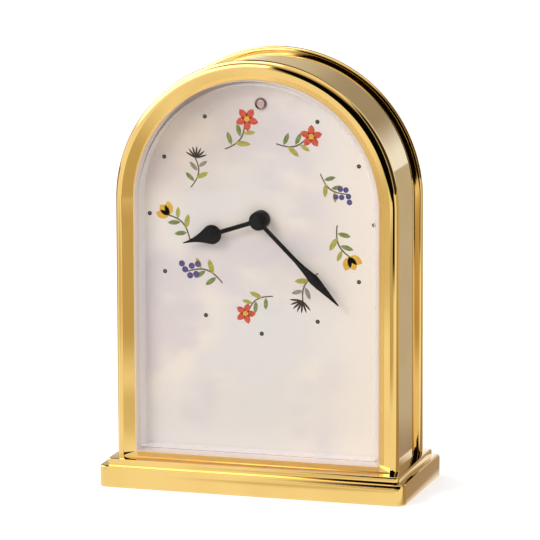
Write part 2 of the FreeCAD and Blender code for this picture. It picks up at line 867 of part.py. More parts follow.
def minute_hand():
    """The lance-shaped minute hand."""
    swell_share = 0.42
    shoulder_share = 0.68
    widest_share = 0.71
    shoulder_width_share = 0.97
    stem = V(minute_stem_width / 2, 0, 0)
    swell = V(minute_stem_width / 2, 0, minute_hand_length * swell_share)
    shoulder = V(minute_hand_width / 2 * shoulder_width_share, 0,
                 minute_hand_length * shoulder_share)
    widest = V(minute_hand_width / 2, 0, minute_hand_length * widest_share)
    tip = V(hand_tip_width / 2, 0, minute_hand_length)
    side = [
        Part.makeLine(stem, swell),
        tangent_arc(swell, Z_AXIS, shoulder),
        Part.makeLine(shoulder, widest),
        Part.makeLine(widest, tip),
    ]
    ends = [
        Part.makeLine(V(-minute_stem_width / 2, 0, 0), stem),
        Part.makeLine(V(-hand_tip_width / 2, 0, minute_hand_length), tip),
    ]
    return hub_and_blade(side + mirrored(side) + ends, arbor_radius + screw_gap,
                         minute_seat_y, shown_minute_angle)


def hour_hand():
    """The hour hand, with its round bulb drawn out to a point."""
    leave = math.radians(hour_bulb_leave_angle)
    half_stem = hour_stem_width / 2
    enter = math.asin(half_stem / hour_bulb_radius)
    foot = V(half_stem, 0, 0)
    bulb_start = V(half_stem, 0, hour_bulb_centre - hour_bulb_radius * math.cos(enter))
    bulb_side = V(hour_bulb_radius, 0, hour_bulb_centre)
    bulb_end = V(hour_bulb_radius * math.sin(leave), 0,
                 hour_bulb_centre + hour_bulb_radius * math.cos(leave))
    heading = V(-math.cos(leave), 0, math.sin(leave))
    tip = V(hand_tip_width / 2, 0, hour_hand_length)
    side = [
        Part.makeLine(foot, bulb_start),
        Part.Arc(bulb_start, bulb_side, bulb_end).toShape(),
        tangent_arc(bulb_end, heading, tip),
    ]
    ends = [
        Part.makeLine(V(-half_stem, 0, 0), foot),
        Part.makeLine(V(-hand_tip_width / 2, 0, hour_hand_length), tip),
    ]
    return hub_and_blade(side + mirrored(side) + ends, tube_radius + screw_gap, hour_seat_y,
                         shown_hour_angle)


def hand_cap():
    """The low cap on the end of the minute arbor."""
    return sided_y(turned_sides, 0, hub_height, hand_cap_radius,
                   minute_hand_front_y - hand_cap_height, minute_hand_front_y)


def drive_block():
    """The sealed stepping-motor block, with the socket that takes the minute arbor."""
    block = cut_corner_panel(-drive_left, drive_width - drive_left, train_plate_back_y,
                             train_plate_back_y + drive_depth, hub_height - drive_below,
                             hub_height - drive_below + drive_height, drive_corner_cut)
    return block.cut(rod_y(0, hub_height, arbor_radius + running_gap,
                           train_plate_back_y - cut_overrun, train_plate_back_y + arbor_socket))


def coil_centre():
    """The middle of the coil, below the drive block."""
    return (drive_width / 2 - drive_left, train_plate_back_y + bobbin_flange_size / 2,
            hub_height - drive_below - core_drop)


def square_bar(half_length, size):
    """A square bar along X through the middle of the coil."""
    x, y, z = coil_centre()
    half = size / 2
    return box(x - half_length, x + half_length, y - half, y + half, z - half, z + half)


def motor_core():
    """The laminated core: a bar through the bobbin and two legs up to the drive block."""
    x, y, z = coil_centre()
    half_length = coil_length / 2 + core_overhang + core_leg_width / 2
    half = core_size / 2
    legs = []
    for side in (-1, 1):
        leg_x = x + side * half_length
        legs.append(box(leg_x - core_leg_width / 2, leg_x + core_leg_width / 2, y - half,
                        y + half, z - half, hub_height - drive_below))
    return fused(square_bar(half_length, core_size), *legs)


def coil_bobbin():
    """The bobbin: a square tube between two square flanges, with the core's hole."""
    half = coil_length / 2
    body = square_bar(half, bobbin_flange_size)
    waist = square_bar(half - bobbin_flange, bobbin_flange_size + cut_overrun)
    tube = square_bar(half, bobbin_tube_size)
    return body.cut(waist).fuse(tube).cut(square_bar(half + cut_overrun,
                                                     core_size + screw_gap * 2))


def coil_winding():
    """The enamelled winding, as one sleeve on the bobbin."""
    x, y, z = coil_centre()
    half = coil_length / 2 - bobbin_flange
    sleeve = rod_x(y, z, coil_radius, x - half, x + half)
    return sleeve.cut(square_bar(half + cut_overrun, bobbin_tube_size))


def movement_board():
    """The movement's board, with its sealed chip and quartz can."""
    x0 = drive_width / 2 - drive_left - movement_board_width / 2
    z0 = hub_height + movement_board_rise
    y0 = train_plate_back_y
    y1 = y0 + movement_board_thickness
    board = box(x0, x0 + movement_board_width, y0, y1, z0, z0 + movement_board_height)
    middle_x = x0 + movement_board_width / 4
    middle_z = z0 + movement_board_height / 2
    half = chip_size / 2
    chip = box(middle_x - half, middle_x + half, y1, y1 + chip_height, middle_z - half,
               middle_z + half)
    can_x = x0 + movement_board_width / 2 + quartz_can_radius
    can = rod_x(y1 + quartz_can_radius / 2, middle_z, quartz_can_radius, can_x,
                can_x + quartz_can_length)
    return fused(board, chip, can)


def cover_screw_places():
    """The four cover screws: one low on each side and one in each shoulder of the arch."""
    reach = cover_half_width - cover_screw_inset
    angle = math.radians(arch_screw_angle)
    places = []
    for side in (-1, 1):
        places.append((side * reach, lower_screw_height))
        places.append((side * reach * math.sin(angle), spring_height + reach * math.cos(angle)))
    return places


def grille_slots():
    """The rows of slots over the loudspeaker, each as long as the round patch allows."""
    slots = []
    rows = int(grille_radius // grille_slot_pitch)
    half = grille_slot_width / 2
    for row in range(-rows, rows + 1):
        height = row * grille_slot_pitch
        reach = math.sqrt(grille_radius ** 2 - height ** 2)
        slots.append(box(-reach, reach, cover_front_y - cut_overrun, cover_back_y + cut_overrun,
                         speaker_height + height - half, speaker_height + height + half))
    return slots


def board_places():
    """Three posts under the sound board."""
    left = -board_left + board_post_inset
    right = -board_left + board_width - board_post_inset
    low = board_bottom_height + board_post_inset
    high = board_bottom_height + board_height - board_post_inset
    return [(left, low), (right, low), (left, high)]


def back_cover():
    """The moulded back cover: grille, door opening, control holes and board posts."""
    cover = arch_prism(cover_half_width, cover_floor, cover_front_y, cover_back_y)
    low = cover_front_y - cut_overrun
    high = cover_back_y + cut_overrun
    half = board_post_size / 2
    posts = [box(x - half, x + half, board_back_y, cover_front_y, z - half, z + half)
             for x, z in board_places()]
    cover = fused(cover, *posts)
    holes = grille_slots()
    door_room = door_half_width + door_gap
    head_room = door_hinge_height + door_thickness / 2 + door_gap
    holes.append(box(-door_room, door_room, low, high, door_floor - door_gap, head_room))
    holes.append(rod_x(door_y, door_hinge_height, door_pin_radius + running_gap,
                       -door_room - door_pin_length, door_room + door_pin_length))
    holes.append(rod_y(set_axis_x, set_axis_z, arbor_radius + seat_gap, low, high))
    slider_room = slider_width / 2 + slider_travel + seat_gap
    slider_z = board_bottom_height + switch_rise
    slider_half = slider_height / 2 + seat_gap
    holes.append(box(board_centre_x - slider_room, board_centre_x + slider_room, low, high,
                     slider_z - slider_half, slider_z + slider_half))
    holes.append(rod_y(board_centre_x, board_bottom_height + button_rise,
                       button_radius + seat_gap, low, high))
    holes += [sided_y(hex_sides, x, z, cover_screw_radius + seat_gap, low, high)
              for x, z in cover_screw_places()]
    return cover.cut(holes)


def cover_screws():
    """The four slotted screws of the back cover, their threaded shanks drawn six-sided."""
    slot = cover_screw_slot / 2
    top = cover_back_y + cover_screw_head_height
    screws = []
    for x, z in cover_screw_places():
        head = sided_y(turned_sides, x, z, cover_screw_head_radius, cover_back_y, top)
        shank = sided_y(hex_sides, x, z, cover_screw_radius, cover_back_y - cover_screw_reach,
                        cover_back_y)
        groove = box(x - cover_screw_head_radius, x + cover_screw_head_radius,
                     top - cover_screw_slot, top + cut_overrun, z - slot, z + slot)
        screws.append(fused(head, shank).cut(groove))
    return Part.makeCompound(screws)


def square_bowl(mouth, neck, y0, y1):
    """A square bowl about the loudspeaker's axis, from its mouth at y0 to its neck at y1."""
    corner_share = math.sqrt(2) / 2
    bowl = sided_cone(square_sides, mouth * corner_share, neck * corner_share, y0 - y1)
    return placed(bowl, 0, y0, speaker_height, 90, X_AXIS)


def speaker_basket():
    """The pressed basket: a square flange and a tapered square bowl with its floor."""
    half = speaker_size / 2
    flange_y = cover_front_y - speaker_flange
    bowl_y = cover_front_y - speaker_depth + magnet_thickness
    flange = cut_corner_panel(-half, half, flange_y, cover_front_y, speaker_height - half,
                              speaker_height + half, speaker_corner_cut)
    bowl = square_bowl(basket_mouth + basket_wall, basket_neck + basket_wall, flange_y, bowl_y)
    room = square_bowl(basket_mouth - basket_wall, basket_neck - basket_wall, flange_y,
                       bowl_y + basket_wall)
    half_mouth = (basket_mouth - basket_wall) / 2
    mouth = box(-half_mouth, half_mouth, flange_y - cut_overrun / 2, cover_front_y + cut_overrun,
                speaker_height - half_mouth, speaker_height + half_mouth)
    return fused(flange, bowl).cut([room, mouth])


def speaker_magnet():
    """The round magnet behind the basket's floor."""
    back = cover_front_y - speaker_depth
    return sided_y(turned_sides, 0, speaker_height, magnet_radius, back, back + magnet_thickness)


def speaker_cone():
    """The paper cone, folded with flat sides and seated by its rim in the basket's mouth."""
    rim_radius = (basket_mouth - basket_wall) / 2
    rim_y = cover_front_y - speaker_flange
    shell = sided_cone(turned_sides, rim_radius, cone_neck_radius, cone_depth)
    room = placed(shell, 0, 0, -cone_rim)
    rim = sided_bar(turned_sides, rim_radius, cone_rim)
    rim = placed(rim, 0, 0, -cone_rim / 2, 180.0 / turned_sides)
    cone = fused(shell, rim).cut(room)
    return placed(cone, 0, rim_y, speaker_height, 90, X_AXIS)


def battery_tray():
    """The open battery tray, bonded to the inside of the cover round the door opening."""
    outer = box(-tray_half_width, tray_half_width, tray_front_y, cover_front_y,
                tray_bottom_height, tray_top)
    inner_half = tray_half_width - tray_wall
    inner = box(-inner_half, inner_half, tray_front_y + tray_wall, cover_front_y + cut_overrun,
                tray_bottom_height + tray_wall, tray_top - tray_wall)
    return outer.cut(inner)


def cell_places():
    """Where each cell stands across the tray."""
    first = -cell_pitch * (cell_count - 1) / 2
    return [first + index * cell_pitch for index in range(cell_count)]


def battery_cells():
    """The standard cells, side by side."""
    bottom = cell_floor + seat_gap
    return Part.makeCompound([sided_z(turned_sides, x, cell_y, cell_radius, bottom,
                                      bottom + cell_length) for x in cell_places()])


def battery_contacts():
    """Bowed leaf contacts at both ends of each cell, seated on the tray's end walls."""
    leaf = [V(-contact_width / 2, 0, 0), V(contact_width / 2, 0, 0),
            V(contact_width / 2, 0, contact_thickness),
            V(contact_width / 4, 0, contact_height),
            V(-contact_width / 4, 0, contact_height),
            V(-contact_width / 2, 0, contact_thickness)]
    leaf.append(leaf[0])
    strip = Part.Face(Part.makePolygon(leaf)).extrude(V(0, contact_width, 0))
    strip.translate(V(0, cell_y - contact_width / 2, 0))
    leaves = []
    for x in cell_places():
        leaves.append(placed(strip, x, 0, tray_bottom_height + tray_wall))
        upper = placed(strip, 0, 0, 0)
        upper = upper.mirror(V(0, 0, 0), Z_AXIS)
        leaves.append(placed(upper, x, 0, tray_top - tray_wall))
    return Part.makeCompound(leaves)


def battery_door():
    """The battery door, hinged at its top edge on two pins, with a thumb notch below."""
    half = door_thickness / 2
    panel = box(-door_half_width, door_half_width, door_y - half, door_y + half, door_floor,
                door_hinge_height)
    barrel = rod_x(door_y, door_hinge_height, half, -door_half_width, door_half_width)
    reach = door_half_width + door_gap + door_pin_length - seat_gap
    pins = rod_x(door_y, door_hinge_height, door_pin_radius, -reach, reach)
    door = fused(panel, barrel, pins)
    return door.cut(box(-door_notch_width / 2, door_notch_width / 2,
                        door_y + half - door_notch_depth, door_y + half + cut_overrun,
                        door_floor + door_notch_height / 2,
                        door_floor + door_notch_height * 3 / 2))


def sound_board():
    """The sound board, with its chip and two capacitors."""
    board = box(-board_left, -board_left + board_width, board_front_y, board_back_y,
                board_bottom_height, board_bottom_height + board_height)
    middle_z = board_bottom_height + board_height / 2
    half = sound_chip_size / 2
    chip = box(board_centre_x - half, board_centre_x + half, board_front_y - sound_chip_height,
               board_front_y, middle_z - half, middle_z + half)
    cans = [sided_y(turned_sides, board_centre_x + side * capacitor_spacing / 2,
                    board_bottom_height + board_height - capacitor_spacing, capacitor_radius,
                    board_front_y - capacitor_height, board_front_y) for side in (-1, 1)]
    return fused(board, chip, *cans)


def volume_switch():
    """The body of the slide switch on the sound board, with its slot."""
    z = board_bottom_height + switch_rise
    body = box(board_centre_x - switch_width / 2, board_centre_x + switch_width / 2,
               board_back_y, board_back_y + switch_depth, z - switch_height / 2,
               z + switch_height / 2)
    room = slider_width / 2 + slider_travel + seat_gap
    half = slider_height / 2 + seat_gap
    well = box(board_centre_x - room, board_centre_x + room,
               board_back_y + switch_depth / 2, board_back_y + switch_depth + cut_overrun,
               z - half, z + half)
    return body.cut(well)


def volume_slider():
    """The slider that stands out through its slot in the cover, with a ridged grip."""
    z = board_bottom_height + switch_rise
    half_w = slider_width / 2
    half_h = slider_height / 2
    stem = box(board_centre_x - half_w, board_centre_x + half_w,
               board_back_y + switch_depth / 2 + seat_gap, cover_back_y + slider_stand_out,
               z - half_h, z + half_h)
    groove = slider_width / 8
    for step in (-1, 0, 1):
        x = board_centre_x + step * groove * 2
        stem = stem.cut(box(x - groove / 2, x + groove / 2,
                            cover_back_y + slider_stand_out - groove,
                            cover_back_y + slider_stand_out + cut_overrun,
                            z - half_h - cut_overrun, z + half_h + cut_overrun))
    return stem


def push_switch():
    """The body of the push switch on the sound board."""
    z = board_bottom_height + button_rise
    half = tact_size / 2
    depth = board_stand_off - button_flange - seat_gap - button_travel
    return box(board_centre_x - half, board_centre_x + half, board_back_y,
               board_back_y + min(tact_depth, depth), z - half, z + half)


def push_button():
    """The push button, kept in its hole by a thin flange behind the cover."""
    z = board_bottom_height + button_rise
    front = cover_back_y + button_stand_out
    stem = rod_y(board_centre_x, z, button_radius, cover_front_y - button_flange, front)
    reach = button_radius + seat_gap + button_flange_extra
    flange = box(board_centre_x - reach, board_centre_x + reach, cover_front_y - button_flange,
                 cover_front_y, z - reach, z + reach)
    return fused(stem, flange)


NODES = {
    "base_casting": base_casting,
    "base_pad": base_pad,
    "case_bolts": case_bolts,
    "front_frame": front_frame,
    "rear_frame": rear_frame,
    "side_band": side_band,
    "crystal": crystal,
    "dial_plate": dial_plate,
    "dial_clips": dial_clips,
    "sensor_bezel": sensor_bezel,
    "light_sensor": light_sensor,
    "movement_front_shell": movement_front_shell,
    "movement_rear_shell": movement_rear_shell,
    "train_plate": train_plate,
    "dial_nut": dial_nut,
    "minute_arbor": minute_arbor,
    "minute_hand": minute_hand,
    "hand_cap": hand_cap,
    "hour_wheel": hour_wheel,
    "hour_hand": hour_hand,
    "minute_wheel": minute_wheel,
    "set_arbor": set_arbor,
    "set_knob": set_knob,
    "drive_block": drive_block,
    "motor_core": motor_core,
    "coil_bobbin": coil_bobbin,
    "coil_winding": coil_winding,
    "movement_board": movement_board,
    "back_cover": back_cover,
    "cover_screws": cover_screws,
    "speaker_basket": speaker_basket,
    "speaker_magnet": speaker_magnet,
    "speaker_cone": speaker_cone,
    "battery_tray": battery_tray,
    "battery_cells": battery_cells,
    "battery_contacts": battery_contacts,
    "battery_door": battery_door,
    "sound_board": sound_board,
    "volume_switch": volume_switch,
    "volume_slider": volume_slider,
    "push_switch": push_switch,
    "push_button": push_button,
}


def main():
    """Build every node and write it to its own file."""
    os.makedirs("parts", exist_ok=True)
    for name, build in NODES.items():
        shape = build()
        shape.exportStep("parts/" + name + ".step")
        print(f"{name}: {len(shape.Solids)} solid(s), {shape.Volume:.1f} mm3")


main()
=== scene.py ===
"""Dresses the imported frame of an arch-top brass table clock and sets it in a pale studio.

Lengths are in millimetres unless a comment or a docstring says metres. The dial faces -Y.
"""

import logging
import math
from collections.abc import Callable
from dataclasses import dataclass
from enum import Enum

import bpy
from mathutils import Matrix, Vector


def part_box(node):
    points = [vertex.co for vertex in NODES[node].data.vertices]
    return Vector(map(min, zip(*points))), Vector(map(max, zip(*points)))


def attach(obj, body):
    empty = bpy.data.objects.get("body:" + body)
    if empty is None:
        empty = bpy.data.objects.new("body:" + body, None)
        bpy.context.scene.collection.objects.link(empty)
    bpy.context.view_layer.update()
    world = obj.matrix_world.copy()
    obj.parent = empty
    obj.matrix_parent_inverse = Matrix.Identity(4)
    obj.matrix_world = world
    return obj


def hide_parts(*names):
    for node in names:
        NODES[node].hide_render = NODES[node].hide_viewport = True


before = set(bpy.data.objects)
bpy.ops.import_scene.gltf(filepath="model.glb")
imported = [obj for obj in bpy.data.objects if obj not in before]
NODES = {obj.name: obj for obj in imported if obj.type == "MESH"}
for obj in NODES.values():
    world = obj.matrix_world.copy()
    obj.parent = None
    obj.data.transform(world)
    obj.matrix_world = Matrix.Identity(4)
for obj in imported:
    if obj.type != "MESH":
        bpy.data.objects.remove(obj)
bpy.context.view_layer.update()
LOG = logging.getLogger("clock")

MM = 0.001
ALONG_Y = Vector((0, 1, 0))
# Turns a flat primitive so that it faces along Y
UPRIGHT = (math.pi / 2, 0, 0)
# Doubles closer than this are one point, and places closer than this are the same
SAME_POINT = 0.001
SAME_PLACE = 0.01
# How far the limit of a choice by place stands off the points that it parts
MARGIN = 0.1
WHITE = "FFFFFF"

Piece = bpy.types.Object
Place = tuple[float, float, float]
Pair = tuple[float, float]
# A soft edge from its start to its end, and a span between two soft edges
Edge = tuple[float, float]
Span = tuple[float, float, float, float]


def metres(x: float, y: float, z: float) -> Vector:
    """A place given in millimetres, in metres."""
    return Vector((x * MM, y * MM, z * MM))


def linear(code: str) -> Place:
    """The linear colour of a hex code.

    Args:
        code: Six hex digits, red, green and blue.

    Returns:
        The three linear values.
    """
    parts = [int(code[index:index + 2], 16) / 255 for index in (0, 2, 4)]
    return tuple(p / 12.92 if p <= 0.04045 else ((p + 0.055) / 1.055) ** 2.4 for p in parts)


def rgba(code: str) -> tuple[float, float, float, float]:
    """The linear colour of a hex code, with full alpha."""
    return (*linear(code), 1.0)


class Smoothing(Enum):
    """The angle in degrees up to which an edge is shaded smooth."""
    TURNED = 32.0
    CAST = 24.0


def near(a: Vector, b: Vector) -> bool:
    """Whether two places in millimetres are the same."""
    return (a - b).length < SAME_PLACE


def clear_choice() -> None:
    """Leaves edit mode and deselects every object."""
    if bpy.context.object and bpy.context.object.mode != "OBJECT":
        bpy.ops.object.mode_set(mode="OBJECT")
    bpy.ops.object.select_all(action="DESELECT")


def choose(piece: Piece) -> None:
    """Makes one piece the only chosen and the active one."""
    clear_choice()
    piece.select_set(True)
    bpy.context.view_layer.objects.active = piece


def choose_all() -> None:
    """Chooses all of the mesh that is open for editing."""
    bpy.ops.mesh.select_all(action="SELECT")


def open_mesh(piece: Piece) -> None:
    """Opens a piece for editing with everything in it chosen."""
    choose(piece)
    bpy.ops.object.mode_set(mode="EDIT")
    choose_all()


def start_choice(kind: str) -> None:
    """Sets whether points or edges are chosen, chooses none and leaves edit mode."""
    bpy.ops.mesh.select_mode(type=kind)
    bpy.ops.mesh.select_all(action="DESELECT")
    bpy.ops.object.mode_set(mode="OBJECT")


def choose_points(piece: Piece, test: Callable[[Vector], bool]) -> None:
    """Chooses points of the piece open for editing.

    Args:
        piece: The piece, open in edit mode.
        test: Called with a point's place in millimetres.
    """
    start_choice("VERT")
    for point in piece.data.vertices:
        point.select = bool(test(piece.matrix_world @ point.co / MM))
    bpy.ops.object.mode_set(mode="EDIT")
    bpy.ops.mesh.select_mode(type="VERT")


def choose_edges(piece: Piece, test: Callable[[Vector, Vector], bool]) -> None:
    """Chooses edges of the piece open for editing.

    Args:
        piece: The piece, open in edit mode.
        test: Called with the places of an edge's two ends, in millimetres.
    """
    start_choice("EDGE")
    points = piece.data.vertices
    for edge in piece.data.edges:
        ends = [piece.matrix_world @ points[index].co / MM for index in edge.vertices]
        edge.select = bool(test(*ends))
    bpy.ops.object.mode_set(mode="EDIT")


def start_piece(name: str, primitive: Callable, **settings) -> Piece:
    """Adds a primitive with nothing else chosen.

    Args:
        name: The piece's name.
        primitive: The operator that adds it.
        **settings: The operator's values.

    Returns:
        The new piece.
    """
    clear_choice()
    primitive(**settings)
    piece = bpy.context.object
    piece.name = name
    return piece


def extrude_by(step: Vector) -> None:
    """Extrudes what is chosen and moves it by a step in metres."""
    bpy.ops.mesh.extrude_region_move(TRANSFORM_OT_translate={"value": tuple(step)})


def draw_line(name: str, places: list[Vector], closed: bool) -> Piece:
    """Draws a chain of points by extruding one point along it.

    Args:
        name: The piece's name.
        places: The chain's points in metres.
        closed: Whether the last point is joined to the first.

    Returns:
        The piece, open for editing.
    """
    piece = start_piece(name, bpy.ops.mesh.primitive_plane_add, size=MM, location=places[0])
    bpy.ops.object.mode_set(mode="EDIT")
    bpy.ops.mesh.select_mode(type="VERT")
    choose_all()
    bpy.ops.mesh.merge(type="CENTER")
    for here, there in zip(places, places[1:]):
        extrude_by(there - here)
    if closed:
        extrude_by(places[0] - places[-1])
        choose_all()
        bpy.ops.mesh.remove_doubles(threshold=2 * SAME_POINT * MM)
    return piece


def settle(piece: Piece) -> None:
    """Puts a piece's place into its mesh, so that its object lies unturned at the origin."""
    choose(piece)
    bpy.ops.object.transform_apply(location=True, rotation=True, scale=True)


def close_mesh(piece: Piece, smoothing: Smoothing) -> Piece:
    """Merges doubles, turns the normals out, settles the piece and shades it.

    Args:
        piece: The piece, open for editing.
        smoothing: How its edges are shaded.

    Returns:
        The same piece, its object at the origin.
    """
    choose_all()
    bpy.ops.mesh.remove_doubles(threshold=SAME_POINT * MM)
    bpy.ops.mesh.normals_make_consistent(inside=False)
    settle(piece)
    bpy.ops.object.shade_smooth_by_angle(angle=math.radians(smoothing.value))
    return piece


def shape_with(piece: Piece, kind: str, **settings) -> None:
    """Adds a modifier to a piece and applies it.

    Args:
        piece: The piece, in object mode.
        kind: The modifier's type.
        **settings: Its values.
    """
    choose(piece)
    modifier = piece.modifiers.new(kind.title(), kind)
    for key, value in settings.items():
        setattr(modifier, key, value)
    bpy.ops.object.modifier_apply(modifier=modifier.name)


def copy_of(piece: Piece, name: str, place: Matrix) -> Piece:
    """A copy of a piece with its own mesh, set in another place.

    Args:
        piece: The piece to copy.
        name: The copy's name.
        place: The copy's place and turn.

    Returns:
        The copy.
    """
    double = piece.copy()
    double.data = piece.data.copy()
    double.name = name
    bpy.context.collection.objects.link(double)
    double.matrix_world = place
    return double


def joined(name: str, pieces: list[Piece]) -> Piece:
    """Joins several pieces to one, settled at the origin.

    Args:
        name: The joined piece's name.
        pieces: The pieces.

    Returns:
        The joined piece.
    """
    for piece in pieces:
        settle(piece)
    clear_choice()
    for piece in pieces:
        piece.select_set(True)
    bpy.context.view_layer.objects.active = pieces[0]
    bpy.ops.object.join()
    pieces[0].name = name
    return pieces[0]


def block(name: str, size: Place, centre: Place) -> Piece:
    """A plain block, in object mode.

    Args:
        name: The block's name.
        size: Its width, depth and height.
        centre: Its middle.

    Returns:
        The block.
    """
    piece = start_piece(name, bpy.ops.mesh.primitive_cube_add, size=1, location=metres(*centre))
    piece.scale = metres(*size)
    settle(piece)
    return piece


def turned(name: str, profile: list[Pair], centre: Vector, steps: int,
           closed: bool = True) -> Piece:
    """A ring or shell turned about an axis along Y.

    Args:
        name: The piece's name.
        profile: Radius and y of each profile point, in millimetres.
        centre: A point of the axis in metres, with y zero.
        steps: The steps round it.
        closed: Whether the profile is a closed loop.

    Returns:
        The ring, in object mode.
    """
    piece = draw_line(name, [centre + metres(r, y, 0) for r, y in profile], closed)
    choose_all()
    bpy.ops.mesh.spin(steps=steps, angle=2 * math.pi, center=centre, axis=ALONG_Y)
    return close_mesh(piece, Smoothing.TURNED)


class Graph:
    """The node tree of a material or a world."""

    def __init__(self, owner: bpy.types.Material | bpy.types.World) -> None:
        """Empties the node tree of its owner and starts it with the place on the surface.

        Args:
            owner: The material or the world.
        """
        owner.use_nodes = True
        self.owner = owner
        self.tree = owner.node_tree
        self.tree.nodes.clear()
        self.where = self.add("TexCoord").at("Object")

    def add(self, kind: str, inputs: dict | None = None, **settings) -> "Field":
        """Adds a shader node, sets it up and links its inputs.

        Args:
            kind: The node's type, without its first words.
            inputs: For each input name or place, a field, a value or a colour's hex code.
            **settings: The node's own settings.

        Returns:
            What its first output gives.
        """
        node = self.tree.nodes.new("ShaderNode" + kind)
        for key, value in settings.items():
            setattr(node, key, value)
        for key, value in (inputs or {}).items():
            if isinstance(value, Field):
                self.tree.links.new(value.node.outputs[value.output], node.inputs[key])
            else:
                node.inputs[key].default_value = rgba(value) if isinstance(value, str) else value
        return Field(self, node)

    def finish(self, shader: "Field", output: str = "OutputMaterial") -> bpy.types.ID:
        """Shows a shader on the surface and gives back the material or the world."""
        self.add(output, {"Surface": shader})
        return self.owner


@dataclass(frozen=True)
class Field:
    """What one output of a node gives over a surface, with arithmetic for numbers."""
    graph: Graph
    node: bpy.types.Node
    output: int | str = 0

    def at(self, output: int | str) -> "Field":
        """What another output of the same node gives."""
        return Field(self.graph, self.node, output)

    def __mul__(self, other: "Field | float") -> "Field":
        """The product with a number or a field."""
        return self.graph.add("Math", {0: self, 1: other}, operation="MULTIPLY")

    def __sub__(self, other: "Field | float") -> "Field":
        """What is left without a number or a field."""
        return self.graph.add("Math", {0: self, 1: other}, operation="SUBTRACT")

    def __rsub__(self, other: float) -> "Field":
        """What is left of a number without the field."""
        return self.graph.add("Math", {0: other, 1: self}, operation="SUBTRACT")

    def __or__(self, other: "Field | float") -> "Field":
        """The larger of two shares."""
        return self.graph.add("Math", {0: self, 1: other}, operation="MAXIMUM")

    def __abs__(self) -> "Field":
        """The field without its sign."""
        return self.graph.add("Math", {0: self}, operation="ABSOLUTE")

    def ranged(self, edge: Edge, start: float, end: float) -> "Field":
        """The field moved smoothly from an edge to another range, and clamped to it.

        Args:
            edge: The field's values at the two ends.
            start: What the first becomes.
            end: What the second becomes.

        Returns:
            The moved field.
        """
        return self.graph.add("MapRange", {
            "Value": self, "From Min": edge[0], "From Max": edge[1], "To Min": start,
            "To Max": end}, interpolation_type="SMOOTHSTEP")

    def rise(self, edge: Edge) -> "Field":
        """A share that goes from zero to one across an edge."""
        return self.ranged(edge, 0.0, 1.0)

    def fall(self, edge: Edge) -> "Field":
        """A share that goes from one to zero across an edge."""
        return self.ranged(edge, 1.0, 0.0)

    def within(self, span: Span) -> "Field":
        """A share that is one between two soft edges."""
        return self.rise(span[:2]) * self.fall(span[2:])


# The middle part of a noise over which a colour drifts, and over which the polish wears, and
# the size of the worn spots as a share of the colour's clouds
CLOUD_EDGE = (0.35, 0.65)
WEAR_EDGE = (0.3, 0.7)
WEAR_SHARE = 0.6


@dataclass(frozen=True)
class Finish:
    """A surface: its colour with slight clouds, its polish and its grain."""
    name: str
    colour: str
    shade: str
    roughness: float
    metallic: float = 0.0
    cloud: float = 12.0
    grain: float = 0.4
    grain_depth: float = 0.004
    grain_stretch: Place = (1, 1, 1)
    polish_spread: float = 0.04
    coat: float = 0.0
    sheen: float = 0.0
    specular: float = 0.5

    def clouds(self, graph: Graph, size: float, detail: float,
               stretch: Place = (1, 1, 1)) -> Field:
        """Random blotches over the surface.

        Args:
            graph: The material's node tree.
            size: Their size in millimetres.
            detail: How fine they go.
            stretch: The scale of the place along each axis.

        Returns:
            Their height, from zero to one.
        """
        place = graph.add("Mapping", {"Vector": graph.where, "Scale": stretch})
        return graph.add("TexNoise", {"Vector": place, "Scale": 1 / (size * MM),
                                      "Detail": detail})

    def tone(self, graph: Graph) -> Field:
        """The colour, drifting between its two tones.

        Args:
            graph: The material's node tree.

        Returns:
            The colour.
        """
        drift = self.clouds(graph, self.cloud, 3.0).rise(CLOUD_EDGE)
        return graph.add("Mix", {0: drift, 6: self.colour, 7: self.shade},
                         data_type="RGBA").at(2)

    def relief(self, graph: Graph) -> Field:
        """The fine relief of the surface."""
        return self.clouds(graph, self.grain, 2.0, self.grain_stretch)

    def make(self) -> bpy.types.Material:
        """Builds the material.

        Returns:
            The material.
        """
        graph = Graph(bpy.data.materials.new(self.name))
        polish = self.clouds(graph, self.cloud * WEAR_SHARE, 4.0).ranged(
            WEAR_EDGE, max(0.0, self.roughness - self.polish_spread),
            self.roughness + self.polish_spread)
        bump = graph.add("Bump", {"Height": self.relief(graph), "Strength": 1.0,
                                  "Distance": self.grain_depth * MM})
        return graph.finish(graph.add("BsdfPrincipled", {
            "Base Color": self.tone(graph), "Metallic": self.metallic, "Roughness": polish,
            "Normal": bump, "Coat Weight": self.coat, "Sheen Weight": self.sheen,
            "Specular IOR Level": self.specular}))


@dataclass(frozen=True)
class Ink(Finish):
    """Flat screen print with the slight unevenness of its ink."""
    roughness: float = 0.6
    cloud: float = 1.6
    grain: float = 0.25
    grain_depth: float = 0.002


@dataclass(frozen=True)
class WoundWire(Finish):
    """Fine wire laid turn by turn along X."""
    wire: float = 0.22

    def relief(self, graph: Graph) -> Field:
        """The round backs of the turns."""
        return graph.add("TexWave", {"Vector": graph.where, "Distortion": 0.3,
                                     "Scale": 1 / (self.wire * MM * 20)},
                         bands_direction="X").at("Fac")


@dataclass(frozen=True)
class PrintedBoard(Finish):
    """A green board with paler copper tracks under its lacquer."""
    track: float = 1.6
    track_share: float = 0.05
    # How far each row of tracks is shifted, and how much its fields are squeezed
    shift: float = 0.37
    squash: float = 0.7

    def tone(self, graph: Graph) -> Field:
        """Tracks on the lacquered ground.

        Args:
            graph: The material's node tree.

        Returns:
            The colour.
        """
        flat = graph.add("Mapping", {"Vector": graph.where, "Rotation": UPRIGHT})
        return graph.add("TexBrick", {
            "Vector": flat, "Color1": self.colour, "Color2": self.colour,
            "Mortar": self.shade, "Scale": 1 / (self.track * MM * 4),
            "Mortar Size": self.track_share}, offset=self.shift, squash=self.squash)


